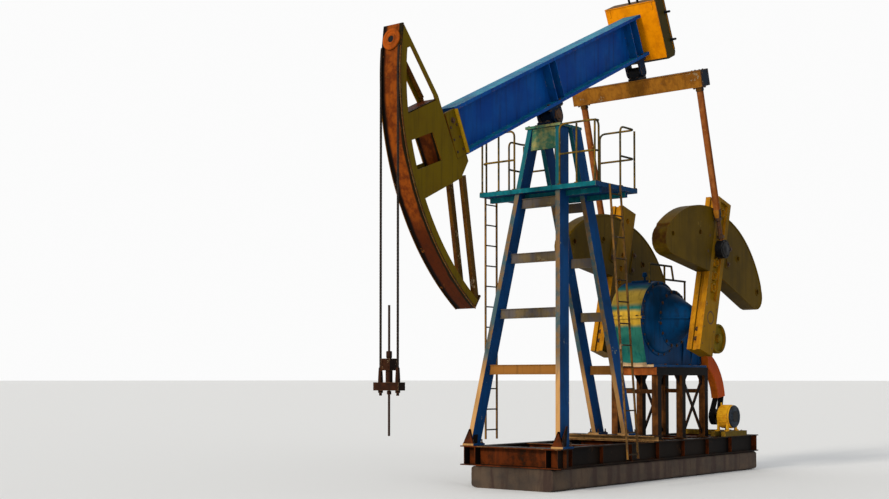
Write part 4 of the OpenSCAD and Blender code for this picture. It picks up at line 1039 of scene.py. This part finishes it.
# At each pitman: the seat and socket under the equalizer, the ferrule above the threaded end,
# the end plate of the equalizer, and bolts and nuts
socket = turned([(0.058, -0.06), (0.068, -0.05), (0.068, 0.0)], 32)
ferrule = turned([(0.036, -0.05), (0.05, -0.04), (0.064, 0.03), (0.064, 0.09), (0.058, 0.1)], 32)
nut = turned([(0.0365, 0), (0.062, 0.002), (0.062, 0.05), (0.0365, 0.052)], 6)
thread_turns = 30
thread_z = np.linspace(-PITMAN_LEN + 0.17, -PITMAN_LEN + 0.5, 2 * thread_turns)
thread = turned([(0.0365 + 0.0016 * (-1) ** k, z) for k, z in enumerate(thread_z)], 20)
equalizer_parts, pitman_nuts = [], []
for side in SIDES:
    y = side * PITMAN_Y
    equalizer_parts += [slab((-0.075, y - 0.085, EQ_LOW - 0.016), (0.075, y + 0.085, EQ_LOW)),
                        stood(socket, (0, y, EQ_LOW - 0.014)),
                        stood(ferrule, (0, y, -PITMAN_LEN + 0.59))]
    pitman_nuts += [bolts([(dx, y + dy, z) for dx in (-0.06, 0.06) for dy in (-0.07, 0.07)],
                          (0, 0, way), 0.013) for z, way in ((EQ_LOW - 0.016, -1), (EQ_TOP, 1))]
    pitman_nuts.append(stood(thread, (0, y, 0)))
    pitman_nuts += [stood(nut, (0, y, -PITMAN_LEN + rise)) for rise in (0.19, 0.5)]
    equalizer_parts.append(slab((-0.135, side * EQ_HALF - 0.004, EQ_LOW + 0.005),
                                (0.135, side * EQ_HALF + side * 0.008, EQ_TOP - 0.005)))
    pitman_nuts.append(bolts([(dx, side * (EQ_HALF + 0.008), z) for dx in (-0.1, 0.1)
                              for z in (EQ_LOW + 0.05, EQ_TOP - 0.05)], (0, side, 0), 0.012))
pitman_nuts.append(bolts([(dx, dy, EQ_TOP + 0.04) for dx in (-0.108, 0.108)
                          for dy in (-0.07, 0.07)], (0, 0, 1), 0.015))
# Flanges that make the equalizer a box with overhanging top and bottom plates
equalizer_parts += [slab((-0.152, -EQ_HALF + 0.01, z), (0.152, EQ_HALF - 0.01, z + 0.016))
                    for z in (EQ_TOP - 0.016, EQ_LOW)]
add_piece("equalizer_plates", equalizer_parts, PITMANS, equalizer_ochre,
          bevel=0.002)
add_piece("pitman_nuts", pitman_nuts, PITMANS, bolt_steel)

# Caps on the outer ends of the crank pin bearings
bearing_cap = turned([(0, 0.018), (0.05, 0.018), (0.06, 0.012), (0.112, 0.012), (0.12, 0.004),
                      (0.12, -0.004)], 48)
caps = []
for side in SIDES:
    out_y = side * (PITMAN_Y + 0.06)
    caps += [stood(bearing_cap, (0, out_y, -PITMAN_LEN), (0, side, 0)),
             bolts(ring_points(0, -PITMAN_LEN, out_y, 0.138, 8, 22), (0, side, 0), 0.011)]
add_piece("pin_bearing_caps", caps, PITMANS, dark_iron)


# ---- Cranks and weights ----

# Rings round the hub and the pin holes, a dark ring of painted shade for a groove round the
# shaft's end, and the hub's bolts
hub_ring = turned([(0.114, -0.001), (0.116, PROUD), (0.142, PROUD), (0.145, -0.001)], 64)
# Painted shade: a dark steel ring stands in for the groove round the shaft's end
hub_groove_shade = turned([(0.09, -0.001), (0.092, 0.0012), (0.1145, 0.0012), (0.1155, -0.001)], 64)
pin_ring = turned([(0.056, -0.002), (0.056, 0.046), (0.06, 0.049), (0.074, 0.049), (0.08, 0.045),
                   (0.08, -0.002)], 40)
crank_parts, crank_bolts = [], []
for side in SIDES:
    face_y = side * CRANK_OUT_Y
    floor_y = side * (CRANK_OUT_Y - CRANK_RECESS)
    crank_parts.append(stood(hub_ring, (0, face_y, 0), (0, side, 0)))
    crank_bolts.append(stood(hub_groove_shade, (0, face_y, 0), (0, side, 0)))
    crank_parts += [stood(pin_ring, (0, floor_y, u), (0, side, 0)) for u in PIN_HOLES]
    # bolts that clamp the hub at its edges, and low bolt heads on its face
    crank_bolts += [bolts([(edge * 0.186, side * CRANK_MID_Y, z)], (edge, 0, 0), 0.026)
                    for z in (-0.25, -0.42) for edge in SIDES]
    crank_bolts += [bolts([(edge * 0.17, face_y - side * (0.0144 - PROUD), z)
                           for z in (-0.5, -0.2, 0.2)], (0, side, 0), 0.016) for edge in SIDES]
add_piece("crank_rings", crank_parts, CRANKS, crank_gold)
add_piece("crank_bolts", crank_bolts, CRANKS, bolt_steel)


def wing_edge(turn):
    """Points (x, z) round the lower edge and the rounded toe of one counterweight."""
    line = np.array([(0.27, 0.772), (1.48, 0.646), (1.585, 0.654), (1.67, 0.686), (1.731, 0.744),
                     (1.762, 0.82), (1.765, 0.9), (1.74, 0.975), (1.69, 1.05)])
    a = np.radians(np.linspace(32, 88, 40))
    arc = np.stack([0.15 + 1.935 * np.cos(a), -0.1 + 1.935 * np.sin(a)], -1)
    points = np.concatenate([line, arc[arc[:, 0] < 1.67]])
    return points * [turn, 1]


# On each face of each weight: a rounded edge, rings round its two holes, a raised plate and
# two bolts. The outer face of the front weight is swept by the pitman, and stays low.
hole_ring = turned([(0.056, -0.002), (0.056, 0.008), (0.06, 0.011), (0.074, 0.011), (0.08, 0.006),
                    (0.08, -0.002)], 40)
seat_plate = np.array([(0.3, 1.0), (0.42, 1.02), (0.42, 1.42), (0.3, 1.44)])
weight_parts, weight_bolts = [], []
for side in SIDES:
    for turn in SIDES:
        for face in SIDES:
            y = side * CRANK_MID_Y + face * WEIGHT_HALF
            swept = face == side and turn < 0
            sunk = face * (0.013 - PROUD) * swept
            line = wing_edge(turn)
            path = np.stack([line[:, 0], np.full(len(line), y - sunk), line[:, 1]], -1)
            weight_parts.append(carried(round_outline(0.013, 8), path, up=(0, 1, 0)))
            ring = moved(hole_ring, np.diag([0.8, 0.8, 0.18 if swept else 1, 1]))
            weight_parts += [stood(ring, (turn * x, y, z), (0, face, 0))
                             for x, z in ((1.56, 0.96), (0.7, 1.3))]
            plate_top = 0.001 if swept else 0.014
            weight_parts.append(plate(seat_plate * [turn, 1], y - face * 0.005,
                                      y + face * plate_top))
            seat = PROUD - 0.027 if swept else plate_top
            weight_bolts.append(bolts([(turn * 0.36, y + face * seat, z) for z in (1.08, 1.36)],
                                      (0, face, 0), 0.03))
add_piece("weight_rims", weight_parts, CRANKS, weight_olive)
add_piece("weight_bolts", weight_bolts, CRANKS, bolt_steel)


# ---- Floor, light and camera ----

def plain_stage():
    """A wide pale floor and a white surround that is bright to the eye, soft as a light."""
    mesh = bpy.data.meshes.new("floor")
    reach = 1500.0
    mesh.from_pydata([(-reach, -reach, 0), (reach, -reach, 0), (reach, reach, 0),
                      (-reach, reach, 0)], [], [(0, 1, 2, 3)])
    floor = bpy.data.objects.new("floor", mesh)
    bpy.context.scene.collection.objects.link(floor)
    material = bpy.data.materials.new("floor_pale")
    material.use_nodes = True
    g = Nodes(material.node_tree)
    shader = g.add("ShaderNodeBsdfPrincipled",
                   {"Base Color": (0.8, 0.79, 0.77, 1), "Roughness": 0.95})
    g.add("ShaderNodeOutputMaterial", {"Surface": shader.outputs[0]})
    mesh.materials.append(material)
    world = bpy.data.worlds.new("surround")
    bpy.context.scene.world = world
    world.use_nodes = True
    g = Nodes(world.node_tree)
    rays = g.add("ShaderNodeLightPath")
    seen = g.math("MAXIMUM", rays.outputs["Is Camera Ray"], rays.outputs["Is Glossy Ray"])
    seen = g.math("MAXIMUM", seen, rays.outputs["Is Transmission Ray"])
    soft = g.add("ShaderNodeBackground", {"Color": (0.93, 0.96, 1.0, 1), "Strength": 0.62})
    white = g.add("ShaderNodeBackground", {"Color": (1.0, 1.0, 1.0, 1), "Strength": 0.97})
    both = g.add("ShaderNodeMixShader", {0: seen, 1: soft.outputs[0], 2: white.outputs[0]})
    g.add("ShaderNodeOutputWorld", {"Surface": both.outputs[0]})


def sun(name, towards, strength, softness, colour):
    """A soft lamp whose light travels along the vector towards."""
    lamp = bpy.data.lights.new(name, "SUN")
    lamp.energy, lamp.angle, lamp.color = strength, math.radians(softness), colour
    holder = bpy.data.objects.new(name, lamp)
    bpy.context.scene.collection.objects.link(holder)
    holder.rotation_mode = "QUATERNION"
    holder.rotation_quaternion = Vector(towards).to_track_quat("-Z", "Y")


plain_stage()
sun("key", (1.0, -0.04, -0.42), 2.1, 10, (1.0, 0.95, 0.86))
sun("fill", (0.35, 1.0, -0.45), 0.4, 40, (0.92, 0.96, 1.0))

# The photo's camera: where it stood, and its focal length in pixels of the photo's width
FOCAL_PIXELS, PHOTO_WIDTH = 1322.1, 889
camera_data = bpy.data.cameras.new("camera")
camera = bpy.data.objects.new("camera", camera_data)
bpy.context.scene.collection.objects.link(camera)
camera.location = (-17.075, -11.86, 1.659)
camera.rotation_euler = (math.radians(90 + 1.777), 0, math.radians(39.379 - 90))
camera_data.sensor_width = 36
camera_data.lens = camera_data.sensor_width * FOCAL_PIXELS / PHOTO_WIDTH
camera_data.shift_y = 0.1
camera_data.clip_end = 5000
bpy.context.scene.camera = camera
bpy.context.scene.view_settings.view_transform = "Standard"
